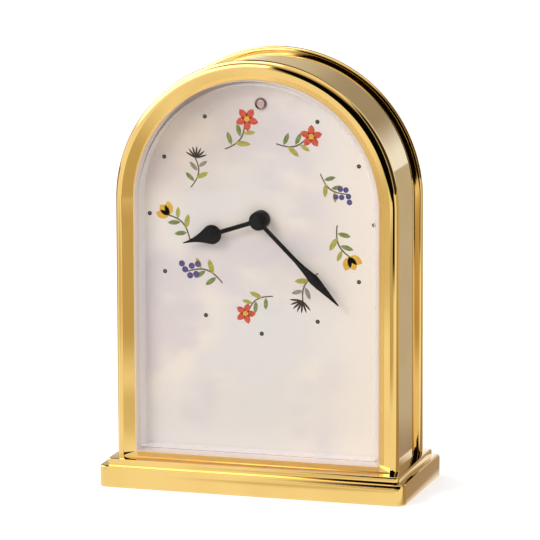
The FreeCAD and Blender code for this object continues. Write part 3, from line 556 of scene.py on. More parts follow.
@dataclass(frozen=True)
class DialEnamel(Finish):
    """Off-white dial lacquer with warm and lilac clouds, and painted shade from the frame
    darkening its upper left corner.
    """
    mist: str = "E0D8D9"
    # Painted shade: the brownish tone that darkens the upper left corner where the frame shades
    # the dial, and its centre
    corner: str = "C3AE94"
    painted_shade_place: Place = (-62.0, -15.0, 222.0)
    # In metres: where the warm right side starts, and how far the painted shade of the corner
    # reaches
    right_side: Edge = (0.015, 0.06)
    painted_shade_reach: Edge = (0.015, 0.085)
    painted_shade_share: float = 0.55
    # Of the warm and the cool clouds: size, the part of the noise they take, greatest share
    warm_size: float = 60.0
    warm_edge: Edge = (0.42, 0.62)
    warm_share: float = 0.9
    cool_size: float = 85.0
    cool_edge: Edge = (0.47, 0.60)
    cool_share: float = 0.75
    cool_stretch: Place = (1, 1, 1.5)

    def tone(self, graph: Graph) -> Field:
        """The ground with its clouds, its warm side and the painted shade of its corner.

        Args:
            graph: The material's node tree.

        Returns:
            The colour.
        """
        right = graph.add("SeparateXYZ", {0: graph.where}).rise(self.right_side)
        warm = (self.clouds(graph, self.warm_size, 3.0).ranged(self.warm_edge, 0.0,
                                                               self.warm_share)
                | right * self.warm_share)
        cool = self.clouds(graph, self.cool_size, 4.0, self.cool_stretch).ranged(
            self.cool_edge, 0.0, self.cool_share)
        # Painted shade of the frame, darkest at the upper left corner and fading with the distance
        # from it
        corner = graph.add("VectorMath", {0: graph.where, 1: metres(*self.painted_shade_place)},
                           operation="DISTANCE").at("Value")
        corner = corner.ranged(self.painted_shade_reach, self.painted_shade_share, 0.0)
        ground = self.colour
        for share, tone in ((warm, self.shade), (cool * (1.0 - right), self.mist),
                            (corner, self.corner)):
            ground = graph.add("Mix", {0: share, 6: ground, 7: tone}, data_type="RGBA").at(2)
        return ground


@dataclass(frozen=True)
class SensorFace(Finish):
    """The photocell's pale disc with a dull red track that winds across it."""
    centre_height: float = 214.5
    pitch: float = 1.05
    swing: float = 1.15
    track: Edge = (0.45, 0.75)

    def tone(self, graph: Graph) -> Field:
        """The winding track on the disc's ground.

        Args:
            graph: The material's node tree.

        Returns:
            The colour.
        """
        parts = graph.add("SeparateXYZ", {0: graph.where})
        height = parts.at("Z") - self.centre_height * MM
        wave = graph.add("Math", {0: parts.at("X") * (2 * math.pi / (self.pitch * MM))},
                         operation="SINE")
        away = abs(height - wave * (self.swing * MM))
        line = away.fall((self.track[0] * MM, self.track[1] * MM))
        return graph.add("Mix", {0: line, 6: self.colour, 7: self.shade},
                         data_type="RGBA").at(2)


@dataclass(frozen=True)
class CellJacket(Finish):
    """A cell's printed sleeve with a bright band near its upper end."""
    foot: float = 25.3
    length: float = 50.4
    band_share: float = 0.72
    band_edge: float = 0.3

    def tone(self, graph: Graph) -> Field:
        """The sleeve's two colours by height.

        Args:
            graph: The material's node tree.

        Returns:
            The colour.
        """
        edge = (self.foot + self.length * self.band_share) * MM
        height = graph.add("SeparateXYZ", {0: graph.where}).at("Z")
        return graph.add("Mix", {0: height.rise((edge, edge + self.band_edge * MM)),
                                 6: self.colour, 7: self.shade}, data_type="RGBA").at(2)


@dataclass(frozen=True)
class ClearAcrylic:
    """Clear acrylic: its faces let the dial show, and its thick edges are faintly milky, with a
    faint painted glow that stands in for light carried to them in the sheet.
    """
    name: str = "clear acrylic"
    tint: str = "FBFAFA"
    # The milky body's colour, which is also the colour of its painted glow
    milk_and_glow: str = "F8F7F5"
    edge: str = "F6F1F5"
    clear_share: float = 0.996
    solid_share: float = 0.6
    # Strength of the painted glow that the milky body gives off, strongest at the thick edges
    # where the body shows most
    painted_edge_glow: float = 0.17
    ior: float = 1.49
    transmission: float = 0.05
    # Size and depth of the faint smudges on its polish
    smudge: float = 18.0
    smudge_roughness: float = 0.01
    # The y of the crystal's inner face, and where its walls begin behind the front face
    inner_face: float = -26.4
    front_edge: float = -28.6
    wall_fade: float = 0.4
    face_fade: Edge = (0.02, 0.08)

    def make(self) -> bpy.types.Material:
        """Builds the material.

        Returns:
            The material.
        """
        graph = Graph(bpy.data.materials.new(self.name))
        place = graph.add("TexNoise", {"Vector": graph.where, "Scale": 1 / (self.smudge * MM),
                                       "Detail": 4.0})
        # The milky body, with a faint painted glow from its emission
        body = graph.add("BsdfPrincipled", {
            "Base Color": self.milk_and_glow, "IOR": self.ior, "Emission Color": self.milk_and_glow,
            "Roughness": place.ranged((0.4, 0.7), 0.0, self.smudge_roughness),
            "Transmission Weight": self.transmission, "Emission Strength": self.painted_edge_glow})
        depth = graph.add("SeparateXYZ", {0: graph.where}).at("Y")
        wall = depth.rise((self.front_edge * MM, (self.front_edge + self.wall_fade) * MM))
        off_face = abs(depth - self.inner_face * MM)
        edge = wall * off_face.rise((self.face_fade[0] * MM, self.face_fade[1] * MM))
        tint = graph.add("Mix", {0: edge, 6: self.tint, 7: self.edge}, data_type="RGBA").at(2)
        clear = graph.add("BsdfTransparent", {"Color": tint})
        shadow = graph.add("LightPath").at("Is Shadow Ray")
        share = shadow | self.clear_share - edge * self.solid_share
        return graph.finish(graph.add("MixShader", {0: share, 1: body, 2: clear}))


class Stock:
    """The finishes of the clock, each built once."""

    # Lacquered brass polished to a mirror: the deep gold of the frames and the base
    brass = Finish("polished brass", "F8D078", "F3CA71", 0.035, 1.0, 40.0, 6.0, 0.0015,
                   coat=1.0, polish_spread=0.015)
    # Paler sheet brass, wrapped and a little less true, so its reflections wander
    sheet_brass = Finish("sheet brass", "EFDBB6", "EAD4AC", 0.06, 1.0, 30.0, 14.0, 0.006,
                         polish_spread=0.015)
    # Satin brass of the train plate, with the drawn lines of its sheet
    satin_brass = Finish("satin brass", "D8B560", "C59F4C", 0.3, 1.0, 6.0, 0.5, 0.004,
                         (1, 1, 8))
    # Blackened brass of the dial nut: the dark disc behind the hands' hubs
    dark_brass = Finish("blackened brass", "1B1815", "151310", 0.35, 0.6, 6.0, 0.5, 0.003)
    # Plated steel with drawn lines, for screws, arbors, clips and contacts
    steel = Finish("plated steel", "C3C4C6", "A9AAAD", 0.28, 1.0, 5.0, 0.3, 0.004, (1, 10, 1))
    # Bright nickel that rings the photocell with a dark mirror
    nickel = Finish("bright nickel", "94857C", "7F7169", 0.14, 1.0, 3.0, 0.6, 0.001)
    # Deep black lacquer of the hands and their cap, with only a faint shine
    black_gloss = Finish("black lacquer", "0B0A0A", "100F0F", 0.2, 0.0, 10.0, 0.8, 0.0015,
                         specular=0.14)
    # Fine spark-textured black moulding that keeps the back dull
    black_moulding = Finish("textured black moulding", "26262A", "1E1E21", 0.5, 0.0, 20.0, 0.35,
                            0.03)
    # Smoother black that sets the knob and the small switches off from the cover
    black_satin = Finish("satin black moulding", "202023", "19191B", 0.36, 0.0, 8.0, 0.3, 0.006)
    # Milky moulded wheels, bobbin and slider
    nylon = Finish("natural nylon", "E9E6DC", "DAD5C6", 0.38, 0.0, 5.0, 0.4, 0.004)
    # The gloss red push button, the one bright spot of the back
    red = Finish("red moulding", "A3201C", "8E1815", 0.22, 0.0, 3.0, 0.3, 0.002, coat=0.3)
    # Enamelled copper wire laid in turns
    copper = WoundWire("enamelled copper wire", "B4683B", "8E4A26", 0.3, 1.0, 4.0,
                       grain_depth=0.08)
    # Lacquered circuit board with its tracks
    board = PrintedBoard("green circuit board", "1D5B35", "3E8A4E", 0.3, 0.0, 5.0, 0.3, 0.003)
    # Grey paint on the loudspeaker's pressed steel
    grey_paint = Finish("grey painted steel", "55565A", "48494D", 0.4, 0.3, 7.0, 0.4, 0.008)
    # Black fibrous paper of the cone
    paper = Finish("black cone paper", "1F1E1D", "2B2927", 0.85, 0.0, 1.5, 0.25, 0.06)
    # Short green felt under the base
    felt = Finish("green felt", "254A33", "1B3A27", 0.95, 0.0, 2.0, 0.18, 0.12, sheen=0.5)
    # Sleeve of the cells, plain two-colour print
    jacket = CellJacket("cell sleeve", "22505A", "C8B173", 0.28, 0.3, 10.0, 0.5, 0.002)
    # Dial lacquer: a pale ground that drifts from cream to lilac, with painted shade in its upper
    # left corner
    enamel = DialEnamel("dial lacquer", "EEEAE4", "FCF3E4", 0.42, 0.0, 30.0, 0.5, 0.002)
    # Photocell face: a pale disc with its dull red track
    sensor = SensorFace("photocell face", "E3D3CB", "A04A40", 0.35, 0.0, 2.0, 0.3, 0.004)
    # Dark rims of the hour dots, and their greyer middles
    dot_ink = Ink("dark dot ink", "2B2D29", "232521", 0.5, cloud=1.5, grain=0.3)
    dot_centre_ink = Ink("grey dot ink", "666A62", "565A52", 0.5, cloud=1.0, grain=0.3)
    # Greens of the wreath: grown leaves, young leaves and brown-green stems
    leaf_ink = Ink("leaf ink", "8E9A54", "6F7F45")
    lime_ink = Ink("young leaf ink", "BEB450", "A3A04A")
    stem_ink = Ink("stem ink", "6D6A45", "575338", cloud=1.2)
    # Warm red petals, blue-violet berries and yellow bells
    blossom_ink = Ink("blossom ink", "DE6141", "C94A33", cloud=1.4)
    berry_ink = Ink("berry ink", "62588A", "4C4675", cloud=1.2)
    pollen_ink = Ink("pollen ink", "EFC440", "DFA838", cloud=1.0)
    # Dark seed heads and their faded leaves
    bark_ink = Ink("bark ink", "4A3A2E", "2F2620", cloud=1.0)
    taupe_ink = Ink("taupe ink", "A39A8C", "8C8375")
    # The crystal over the dial
    acrylic = ClearAcrylic()

    _made: dict[str, bpy.types.Material] = {}

    @classmethod
    def get(cls, finish: Finish | ClearAcrylic) -> bpy.types.Material:
        """The material of a finish, built at its first use."""
        if finish.name not in cls._made:
            cls._made[finish.name] = finish.make()
        return cls._made[finish.name]


def dress(piece: Piece, finish: Finish | ClearAcrylic) -> Piece:
    """Gives a new piece one finish and gives the piece back."""
    piece.data.materials.clear()
    piece.data.materials.append(Stock.get(finish))
    return piece


def place_on(piece: Piece, body: str, slot: str, *nodes: str) -> None:
    """Lets a dressed piece ride on a body and stand for nodes.

    Args:
        piece: The piece.
        body: The body it moves with.
        slot: The record's material slot; not used.
        *nodes: The nodes that it stands for.
    """
    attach(piece, body)
    if nodes:
        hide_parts(*nodes)
    LOG.info("%s: %d faces on %s", piece.name, len(piece.data.polygons), body)


@dataclass(frozen=True)
class Arch:
    """The arch that all the case's mouldings follow."""
    spring: float = 159.5
    floor: float = 15.5
    steps: int = 72

    def sweep(self, name: str, profile: list[Place], closed: bool, sill: list[int]) -> Piece:
        """Sweeps a profile up the left leg and over the crown, then mirrors it.

        Args:
            name: The piece's name.
            profile: Half width, y and foot height of each point.
            closed: Whether the profile is a closed loop.
            sill: The points whose chain also runs along the sill to the middle.

        Returns:
            The piece, in object mode.
        """
        places = [metres(-r, y, z) for r, y, z in profile]
        piece = draw_line(name, places, closed)
        if sill:
            chain = [places[index] / MM for index in sill]
            choose_edges(piece, lambda a, b: any(
                near(a, p) and near(b, q) or near(a, q) and near(b, p)
                for p, q in zip(chain, chain[1:])))
            bpy.ops.mesh.extrude_region_move()
            bpy.ops.transform.resize(value=(0, 1, 1), center_override=(0, 0, 0))
        spring = (0, 0, self.spring * MM)
        choose_edges(piece, lambda a, b: a.x < -MARGIN and b.x < -MARGIN)
        bpy.ops.mesh.extrude_region_move()
        bpy.ops.transform.resize(value=(1, 1, 0), center_override=spring)
        bpy.ops.mesh.spin(steps=self.steps, angle=-math.pi / 2, center=spring, axis=ALONG_Y)
        bpy.ops.object.mode_set(mode="OBJECT")
        settle(piece)
        shape_with(piece, "MIRROR", merge_threshold=SAME_PLACE * MM)
        open_mesh(piece)
        return close_mesh(piece, Smoothing.CAST)


def quarter(centre: Pair, radius: float, way: int, steps: int) -> list[Pair]:
    """A quarter round from its side to its front or rear.

    Args:
        centre: The half width and the y of its centre.
        radius: Its radius.
        way: -1 towards the front, +1 towards the rear.
        steps: The steps along it.

    Returns:
        Half width and y of its points.
    """
    turns = [math.pi / 2 * index / steps for index in range(steps + 1)]
    return [(centre[0] + radius * math.cos(turn), centre[1] + way * radius * math.sin(turn))
            for turn in turns]


@dataclass
class Case:
    """The two beaded frames and the band between them."""
    arch: Arch
    radius: float = 80.5
    front: float = -28.0
    rear: float = 28.0
    band_edge: float = 22.5
    # Radii of the beads and of the rounds next to the band, with the steps of the rounds
    front_bead: float = 4.2
    front_round: float = 1.3
    front_round_steps: int = 5
    rear_bead: float = 3.4
    rear_round: float = 2.1
    rear_round_steps: int = 8
    bead_steps: int = 10
    # The front face: its outer step, its slope down to the glass and the sill's top
    face_half: float = 76.3
    face_y: float = -27.5
    face_foot: float = 15.9
    open_half: float = 69.6
    open_y: float = -25.1
    open_foot: float = 18.4
    # The seats behind the front face and before the rear ledge, and the band's spigots
    front_seat_y: float = -17.5
    rear_seat_y: float = 21.5
    seat_half: float = 74.5
    seat_foot: float = 17.0
    spigot_half: float = 76.3
    spigot_end: float = 12.5
    # The cover's rabbet and the ledge that the cover lies on
    rabbet_half: float = 72.3
    rabbet_foot: float = 17.2
    ledge_half: float = 65.9
    ledge_y: float = 24.5
    ledge_foot: float = 20.4
    band_half: float = 77.5
    band_sheet: float = 0.9

    def build(self) -> None:
        """Builds and dresses the frames and the band."""
        self.moulding("front_moulding", "front_frame", self.front_profile(), slice(-8, -1))
        self.moulding("rear_moulding", "rear_frame", self.rear_profile(), slice(-9, None))
        self.band()

    def beads(self, side: int, bead: float, round_off: float, steps: int) -> list[Place]:
        """The round back and the bead of a frame's outer edge.

        Args:
            side: -1 for the front frame, +1 for the rear one.
            bead: The bead's radius.
            round_off: The radius of the round next to the band.
            steps: The steps of that round.

        Returns:
            Half width, y and foot height of the points, from the band outwards.
        """
        back = quarter((self.radius - round_off, side * (self.band_edge + round_off)),
                       round_off, -side, steps)[::-1]
        outer = self.rear if side > 0 else self.front
        bead_points = quarter((self.radius - bead, outer - side * bead), bead, side,
                              self.bead_steps)
        # On the rear frame the round ends where the bead starts
        back = back[:-1] if side > 0 else back
        return [(r, y, self.arch.floor) for r, y in back + bead_points]

    def front_profile(self) -> list[Place]:
        """The front frame: bead, step, sloped face with its sill, seat and spigot.

        Returns:
            Half width, y and foot height of each point.
        """
        floor = self.arch.floor
        return self.beads(-1, self.front_bead, self.front_round, self.front_round_steps) + [
            (self.face_half, self.face_y, floor),
            (self.face_half, self.face_y, self.face_foot),
            (self.open_half, self.open_y, self.open_foot),
            (self.open_half, self.front_seat_y, self.open_foot),
            (self.seat_half, self.front_seat_y, self.seat_foot),
            (self.seat_half, -self.spigot_end, self.seat_foot),
            (self.spigot_half, -self.spigot_end, floor),
            (self.spigot_half, -self.band_edge, floor),
        ]

    def rear_profile(self) -> list[Place]:
        """The rear frame: bead, flat rim, the cover's rabbet, its ledge, seat and spigot.

        Returns:
            Half width, y and foot height of each point.
        """
        floor = self.arch.floor
        return self.beads(1, self.rear_bead, self.rear_round, self.rear_round_steps) + [
            (self.rabbet_half, self.rear, self.rabbet_foot),
            (self.rabbet_half, self.ledge_y, self.rabbet_foot),
            (self.ledge_half, self.ledge_y, self.ledge_foot),
            (self.ledge_half, self.rear_seat_y, self.ledge_foot),
            (self.seat_half, self.rear_seat_y, self.seat_foot),
            (self.seat_half, self.spigot_end, self.seat_foot),
            (self.spigot_half, self.spigot_end, floor),
            (self.spigot_half, self.band_edge, floor),
        ]

    def moulding(self, name: str, node: str, profile: list[Place], sill: slice) -> None:
        """Sweeps one frame and dresses it.

        Args:
            name: The piece's name.
            node: The node it stands for.
            profile: Its profile, with the points from the face to the spigot last.
            sill: The part of the profile that also runs along the sill.
        """
        piece = self.arch.sweep(name, profile, True, list(range(len(profile)))[sill])
        place_on(dress(piece, Stock.brass), "case", "polished_brass", node)

    def band(self) -> None:
        """The sheet band between the beads."""
        inner, floor = self.band_half - self.band_sheet, self.arch.floor
        piece = self.arch.sweep("case_band", [
            (self.band_half, -self.band_edge, floor), (self.band_half, self.band_edge, floor),
            (inner, self.band_edge, floor), (inner, -self.band_edge, floor)], True, [])
        place_on(dress(piece, Stock.sheet_brass), "case", "polished_brass", "side_band")


@dataclass(frozen=True)
class BaseStep:
    """One step of the base, its upright corners and its softened top edge."""
    name: str
    width: float
    depth: float
    low: float
    high: float
    corner: float
    edge: float
    corner_steps: int = 10
    edge_steps: int = 3

    def shape(self) -> Piece:
        """Builds the step.

        Returns:
            The step, open for editing.
        """
        piece = block(self.name, (self.width, self.depth, self.high - self.low),
                      (0, 0, (self.low + self.high) / 2))
        open_mesh(piece)
        choose_edges(piece, lambda a, b: abs(a.z - b.z) > MARGIN)
        bpy.ops.mesh.bevel(offset=self.corner * MM, segments=self.corner_steps, affect="EDGES")
        choose_edges(piece, lambda a, b: min(a.z, b.z) > self.high - SAME_PLACE)
        bpy.ops.mesh.bevel(offset=self.edge * MM, segments=self.edge_steps, affect="EDGES")
        return piece


@dataclass
class Base:
    """The two-step base with the recess that its pad sits in."""
    plinth: BaseStep = BaseStep("base_body", 175.0, 80.0, 0.5, 12.0, 5.5, 0.9)
    ledge: BaseStep = BaseStep("base_step", 166.6, 71.6, 11.9, 15.5, 2.5, 0.6)
    recess_rim: float = 7.0
    recess_depth: float = 1.0

    def build(self) -> None:
        """Builds and dresses the base."""
        plinth = self.plinth.shape()
        choose_points(plinth, lambda p: p.z < self.plinth.low + MARGIN)
        bpy.ops.mesh.inset(thickness=self.recess_rim * MM)
        extrude_by(metres(0, 0, self.recess_depth))
        close_mesh(plinth, Smoothing.CAST)
        piece = joined("base_body", [plinth, close_mesh(self.ledge.shape(), Smoothing.CAST)])
        place_on(dress(piece, Stock.brass), "case", "polished_brass", "base_casting")


@dataclass
class Crystal:
    """The dished crystal: walls and flange are swept, and its two faces are filled."""
    arch: Arch
    front: float = -29.0
    inner_face: float = -26.4
    back: float = -15.7
    flange_y: float = -17.5
    inner_half: float = 66.7
    inner_foot: float = 21.3
    outer_half: float = 69.3
    outer_foot: float = 18.7
    flange_half: float = 74.2
    flange_foot: float = 17.3
    rim: float = 0.6
    rim_steps: int = 4

    def build(self) -> None:
        """Builds and dresses the crystal."""
        rim = quarter((self.outer_half - self.rim, self.front + self.rim), self.rim, -1,
                      self.rim_steps)
        profile = [(self.inner_half, self.inner_face, self.inner_foot),
                   (self.inner_half, self.back, self.inner_foot),
                   (self.flange_half, self.back, self.flange_foot),
                   (self.flange_half, self.flange_y, self.flange_foot),
                   (self.outer_half, self.flange_y, self.outer_foot)]
        profile += [(r, y, self.outer_foot + self.outer_half - r) for r, y in rim]
        piece = self.arch.sweep("crystal_dish", profile, False, list(range(len(profile))))
        open_mesh(piece)
        for level in (self.inner_face, self.front):
            choose_edges(piece, lambda a, b: max(abs(a.y - level), abs(b.y - level))
                         < 2 * SAME_PLACE)
            bpy.ops.mesh.edge_face_add()
        close_mesh(piece, Smoothing.CAST)
        place_on(dress(piece, Stock.acrylic), "case", "clear_acrylic", "crystal")


@dataclass(frozen=True)
class Hand:
    """One hand's place: its names, bearing in degrees, length, hole and the y of its rear."""
    name: str
    body: str
    node: str
    bearing: float
    length: float
    hole: float
    rear: float


@dataclass
class Hands:
    """The two stamped hands and the cap over their hub."""
    minute: Hand = Hand("minute_blade", "minute_train", "minute_hand", 134.4, 63.7, 1.56, -21.5)
    hour: Hand = Hand("hour_blade", "hour_train", "hour_hand", 251.2, 46.1, 2.56, -19.4)
    hub: float = 150.5
    hub_radius: float = 5.2
    sheet: float = 0.8
    # How far the blade's rear and front lie inside the hub's, so that no faces coincide
    rear_inset: float = 0.02
    front_inset: float = 0.04
    # The softened edge, and how far its middle is drawn in, as a share of it
    edge: float = 0.16
    edge_share: float = 0.3
    # Where the blades start inside the hub, and the half width of their tips
    root: float = 4.4
    tip: float = 0.25
    # The minute hand: half widths of its stem and its swell, which starts at a share of the
    # length, runs over a share of it and grows by a power
    stem: float = 1.15
    swell: float = 2.76
    swell_start: float = 0.42
    swell_run: float = 0.26
    swell_power: float = 1.9
    swell_steps: int = 7
    # Shares of its length with the half widths there
    shoulder: tuple[Pair, ...] = ((0.695, 2.85), (0.72, 2.72))
    # The hour hand: half width of its stem, radius and place of its bulb, the turn at which
    # the outline leaves the bulb, and how the point draws out
    hour_stem: float = 1.25
    bulb: float = 5.4
    bulb_share: float = 0.622
    bulb_leave: float = math.radians(60)
    bulb_steps: int = 14
    point_power: float = 1.15
    point_steps: int = 8
    hub_steps: int = 72
    cap_steps: int = 64
    cap: tuple[Pair, ...] = ((0.0, -22.3), (3.1, -22.3), (3.1, -23.1), (2.95, -23.4),
                             (2.6, -23.65), (2.0, -23.78), (0.0, -23.8))

    def minute_side(self) -> list[Pair]:
        """Half the minute hand's lance.

        Returns:
            Distance along the hand and half width, from the hub to the tip.
        """
        length, stem = self.minute.length, self.stem
        side = [(self.root, stem), (length * self.swell_start, stem)]
        for index in range(1, self.swell_steps + 1):
            part = index / self.swell_steps
            side.append((length * (self.swell_start + self.swell_run * part),
                         stem + (self.swell - stem) * part ** self.swell_power))
        side += [(length * share, half) for share, half in self.shoulder]
        return side + [(length, self.tip)]

    def hour_side(self) -> list[Pair]:
        """Half the hour hand's outline: stem, round bulb and drawn-out point.

        Returns:
            Distance along the hand and half width, from the hub to the tip.
        """
        length, bulb = self.hour.length, self.bulb
        centre = length * self.bulb_share
        enter = math.asin(self.hour_stem / bulb)
        side = [(self.root, self.hour_stem)]
        turns = [math.pi - enter + (self.bulb_leave - math.pi + enter) * index / self.bulb_steps
                 for index in range(self.bulb_steps + 1)]
        side += [(centre + bulb * math.cos(turn), bulb * math.sin(turn)) for turn in turns]
        start, half = side[-1]
        rise = -math.cos(self.bulb_leave) / math.sin(self.bulb_leave)
        run, drop = length - start, self.tip - half
        for index in range(1, self.point_steps + 1):
            part = index / self.point_steps
            bow = (rise * run - drop) * part * (1 - part) ** self.point_power
            side.append((start + run * part, max(self.tip, half + drop * part + bow)))
        return side

    def stamp(self, hand: Hand, side: list[Pair]) -> None:
        """Stamps one hand, its blade with soft edges and its hub disc, and dresses it.

        Args:
            hand: The hand's place.
            side: Its outline on one side.
        """
        turn = math.radians(hand.bearing)
        both = side + [(along, -half) for along, half in reversed(side)]
        places = [metres(along * math.sin(turn) + across * math.cos(turn),
                         hand.rear - self.rear_inset,
                         self.hub + along * math.cos(turn) - across * math.sin(turn))
                  for along, across in both]
        blade = draw_line(hand.name, places, True)
        choose_all()
        bpy.ops.mesh.edge_face_add()
        extrude_by(metres(0, -(self.sheet - self.rear_inset - self.front_inset), 0))
        choose_all()
        bpy.ops.mesh.normals_make_consistent(inside=False)
        front, radius, soft = hand.rear - self.sheet, self.hub_radius, self.edge
        choose_edges(blade, lambda a, b: max(a.y, b.y) < front + 2 * self.front_inset)
        bpy.ops.mesh.bevel(offset=soft * MM, segments=2, affect="EDGES")
        close_mesh(blade, Smoothing.CAST)
        bend = soft * self.edge_share
        hub = turned(hand.name + "_hub", [
            (hand.hole, hand.rear), (radius, hand.rear), (radius, front + soft),
            (radius - bend, front + bend), (radius - soft, front), (hand.hole, front)],
            metres(0, 0, self.hub), self.hub_steps)
        piece = joined(hand.name, [blade, hub])
        place_on(dress(piece, Stock.black_gloss), hand.body, "black_hands", hand.node)

    def build(self) -> None:
        """Builds both hands and the cap."""
        self.stamp(self.minute, self.minute_side())
        self.stamp(self.hour, self.hour_side())
        cap = turned("hub_cap", list(self.cap), metres(0, 0, self.hub), self.cap_steps, False)
        place_on(dress(cap, Stock.black_gloss), "minute_train", "black_hands", "hand_cap")


class Bloom(Enum):
    """The kinds of sprig printed on the dial."""
    BLOSSOM = "blossom"
    BERRIES = "berries"
    BELLS = "bells"
    SEEDS = "seeds"


@dataclass(frozen=True)
class Head:
    """The leaf shapes at the top of a sprig: ink, place, leans in degrees, width and length.

    The place, the width and the length are shares of the sprig's length.
    """
    ink: Ink
    at: Pair
    leans: tuple[float, ...]
    size: Pair


HEADS = {
    Bloom.BLOSSOM: Head(Stock.blossom_ink, (0.82, 0.06), (0, 72, 144, 216, 288), (0.40, 0.26)),
    Bloom.BELLS: Head(Stock.pollen_ink, (0.70, 0.08), (-38, 2, 40), (0.50, 0.32)),
    Bloom.SEEDS: Head(Stock.bark_ink, (0.72, 0.08), tuple(range(-66, 67, 22)), (0.12, 0.30)),
}


@dataclass
class DialPrint:
    """The hour dots and a wreath of small plain sprigs, printed on the dial."""
    hub: float = 150.5
    face: float = -15.7
    layer_step: float = 0.015
    ring: float = 64.0
    dot: float = 1.2
    dot_centre_share: float = 0.42
    wreath: float = 43.5
    sprigs: int = 9
    # The turn of the wreath, the leans of its sprigs in degrees and their lengths
    first_share: float = 0.28
    leans: Pair = (62.0, 74.0)
    lengths: Place = (25.0, 23.0, 26.0)
    # Shares of a sprig's length: each leaf's place along and across, its lean and its length
    leaves: tuple[Span, ...] = ((0.16, 0.09, -52, 0.30), (0.24, 0.13, 58, 0.34),
                                (0.42, 0.15, -48, 0.30), (0.52, 0.16, 50, 0.27))
    leaf_width: float = 0.9
    stem_bow: float = 0.8
    # Shares of a sprig's length: each berry's place along and across, and the radii of a
    # berry and of a blossom's middle
    berries: tuple[Pair, ...] = ((0.86, 0.04), (0.74, 0.16), (0.72, -0.05), (0.60, 0.02),
                                 (0.96, 0.14), (0.62, 0.24))
    berry: float = 0.068
    pollen: float = 0.06
    # The master leaf, as shares of its length: half its length before its ends are drawn
    # out, its slimness, and how far each end is drawn out
    leaf_sides: int = 16
    leaf_half: float = 0.42
    leaf_slim: float = 0.46
    leaf_pull: float = 0.08
    # The master round's sides and the width of its rim, and the master stem's bow, steps and
    # thickness
    round_sides: int = 28
    round_rim: float = 0.08
    bow: float = 0.16
    bow_steps: int = 8
    stem_width: float = 0.035

    def __post_init__(self) -> None:
        """Makes the master shapes that are stamped."""
        self.leaf = self.master_leaf()
        self.round = self.master_round()
        self.stem = self.master_stem()

    def master_leaf(self) -> Piece:
        """A leaf of unit length that points up from the origin.

        Returns:
            The leaf.
        """
        middle = (0, 0, 0.5)
        piece = start_piece("leaf", bpy.ops.mesh.primitive_circle_add, vertices=self.leaf_sides,
                            radius=self.leaf_half, fill_type="NGON", rotation=UPRIGHT,
                            location=middle)
        settle(piece)
        open_mesh(piece)
        bpy.ops.transform.resize(value=(self.leaf_slim, 1, 1), center_override=middle)
        # The master is a metre long, so its ends are the points at x zero, above and below 0.5
        for high, step in ((True, self.leaf_pull), (False, -self.leaf_pull)):
            choose_points(piece, lambda p: abs(p.x) < 1 and (p.z * MM > middle[2]) == high)
            bpy.ops.transform.translate(value=(0, 0, step))
        bpy.ops.object.mode_set(mode="OBJECT")
        return piece

    def master_round(self) -> Piece:
        """A disc of unit radius.

        Returns:
            The disc.
        """
        piece = start_piece("round", bpy.ops.mesh.primitive_circle_add,
                            vertices=self.round_sides, radius=1, fill_type="NGON",
                            rotation=UPRIGHT)
        settle(piece)
        open_mesh(piece)
        bpy.ops.mesh.inset(thickness=self.round_rim)
        bpy.ops.object.mode_set(mode="OBJECT")
        return piece

    def master_stem(self) -> Piece:
        """A thin bowed stem of unit length.

        Returns:
            The stem.
        """
        parts = [index / self.bow_steps for index in range(self.bow_steps + 1)]
        places = [Vector((self.bow * math.sin(math.pi * part), 0, part)) for part in parts]
        piece = draw_line("stem_master", places, False)
        choose_all()
        extrude_by(Vector((self.stem_width, 0, 0)))
        bpy.ops.object.mode_set(mode="OBJECT")
        settle(piece)
        return piece

    def stamp(self, master: Piece, ink: Ink, at: Pair, bearing: float, size: Pair,
              layer: int) -> Piece:
        """Prints one shape.

        Args:
            master: The shape.
            ink: Its ink.
            at: Its place across and up on the dial.
            bearing: Its turn in degrees, clockwise.
            size: Its width and length.
            layer: Its layer of print, from one.

        Returns:
            The printed shape.
        """
        place = Matrix.Translation(metres(at[0], self.face - self.layer_step * layer, at[1]))
        place = place @ Matrix.Rotation(math.radians(bearing), 4, "Y")
        place = place @ Matrix.Diagonal((size[0] * MM, MM, size[1] * MM, 1))
        return dress(copy_of(master, "print", place), ink)

    def sprig(self, kind: Bloom, at: Pair, bearing: float, size: float) -> list[Piece]:
        """Prints one sprig.

        Args:
            kind: What grows on it.
            at: The foot of its stem.
            bearing: The way it grows in degrees, clockwise.
            size: Its length.

        Returns:
            Its printed shapes.
        """
        turn = math.radians(bearing)

        def there(along: float, across: float) -> Pair:
            """A place on the sprig, as shares of its length."""
            return (at[0] + size * (along * math.sin(turn) + across * math.cos(turn)),
                    at[1] + size * (along * math.cos(turn) - across * math.sin(turn)))

        def leaf(ink: Ink, place: Pair, lean: float, width: float, length: float,
                 layer: int) -> Piece:
            """A leaf on the sprig, its size in shares of the sprig's length."""
            return self.stamp(self.leaf, ink, place, bearing + lean,
                              (size * width, size * length), layer)

        def dot(ink: Ink, place: Pair, radius: float, layer: int) -> Piece:
            """A round on the sprig, its radius a share of the sprig's length."""
            return self.stamp(self.round, ink, place, 0, (size * radius, size * radius), layer)

        shapes = [self.stamp(self.stem, Stock.stem_ink, at, bearing,
                             (size, size * self.stem_bow), 1)]
        for index, (along, across, lean, length) in enumerate(self.leaves):
            ink = (Stock.leaf_ink, Stock.lime_ink)[index % 2]
            if kind is Bloom.SEEDS and index > 1:
                ink = Stock.taupe_ink
            shapes.append(leaf(ink, there(along, across), lean, length * self.leaf_width,
                               length, 2))
        if kind is Bloom.BERRIES:
            return shapes + [dot(Stock.berry_ink, there(*place), self.berry, 3)
                             for place in self.berries]
        head = HEADS[kind]
        top = there(*head.at)
        shapes += [leaf(head.ink, top, lean, *head.size, 3) for lean in head.leans]
        if kind is Bloom.BLOSSOM:
            shapes.append(dot(Stock.pollen_ink, top, self.pollen, 4))
        return shapes

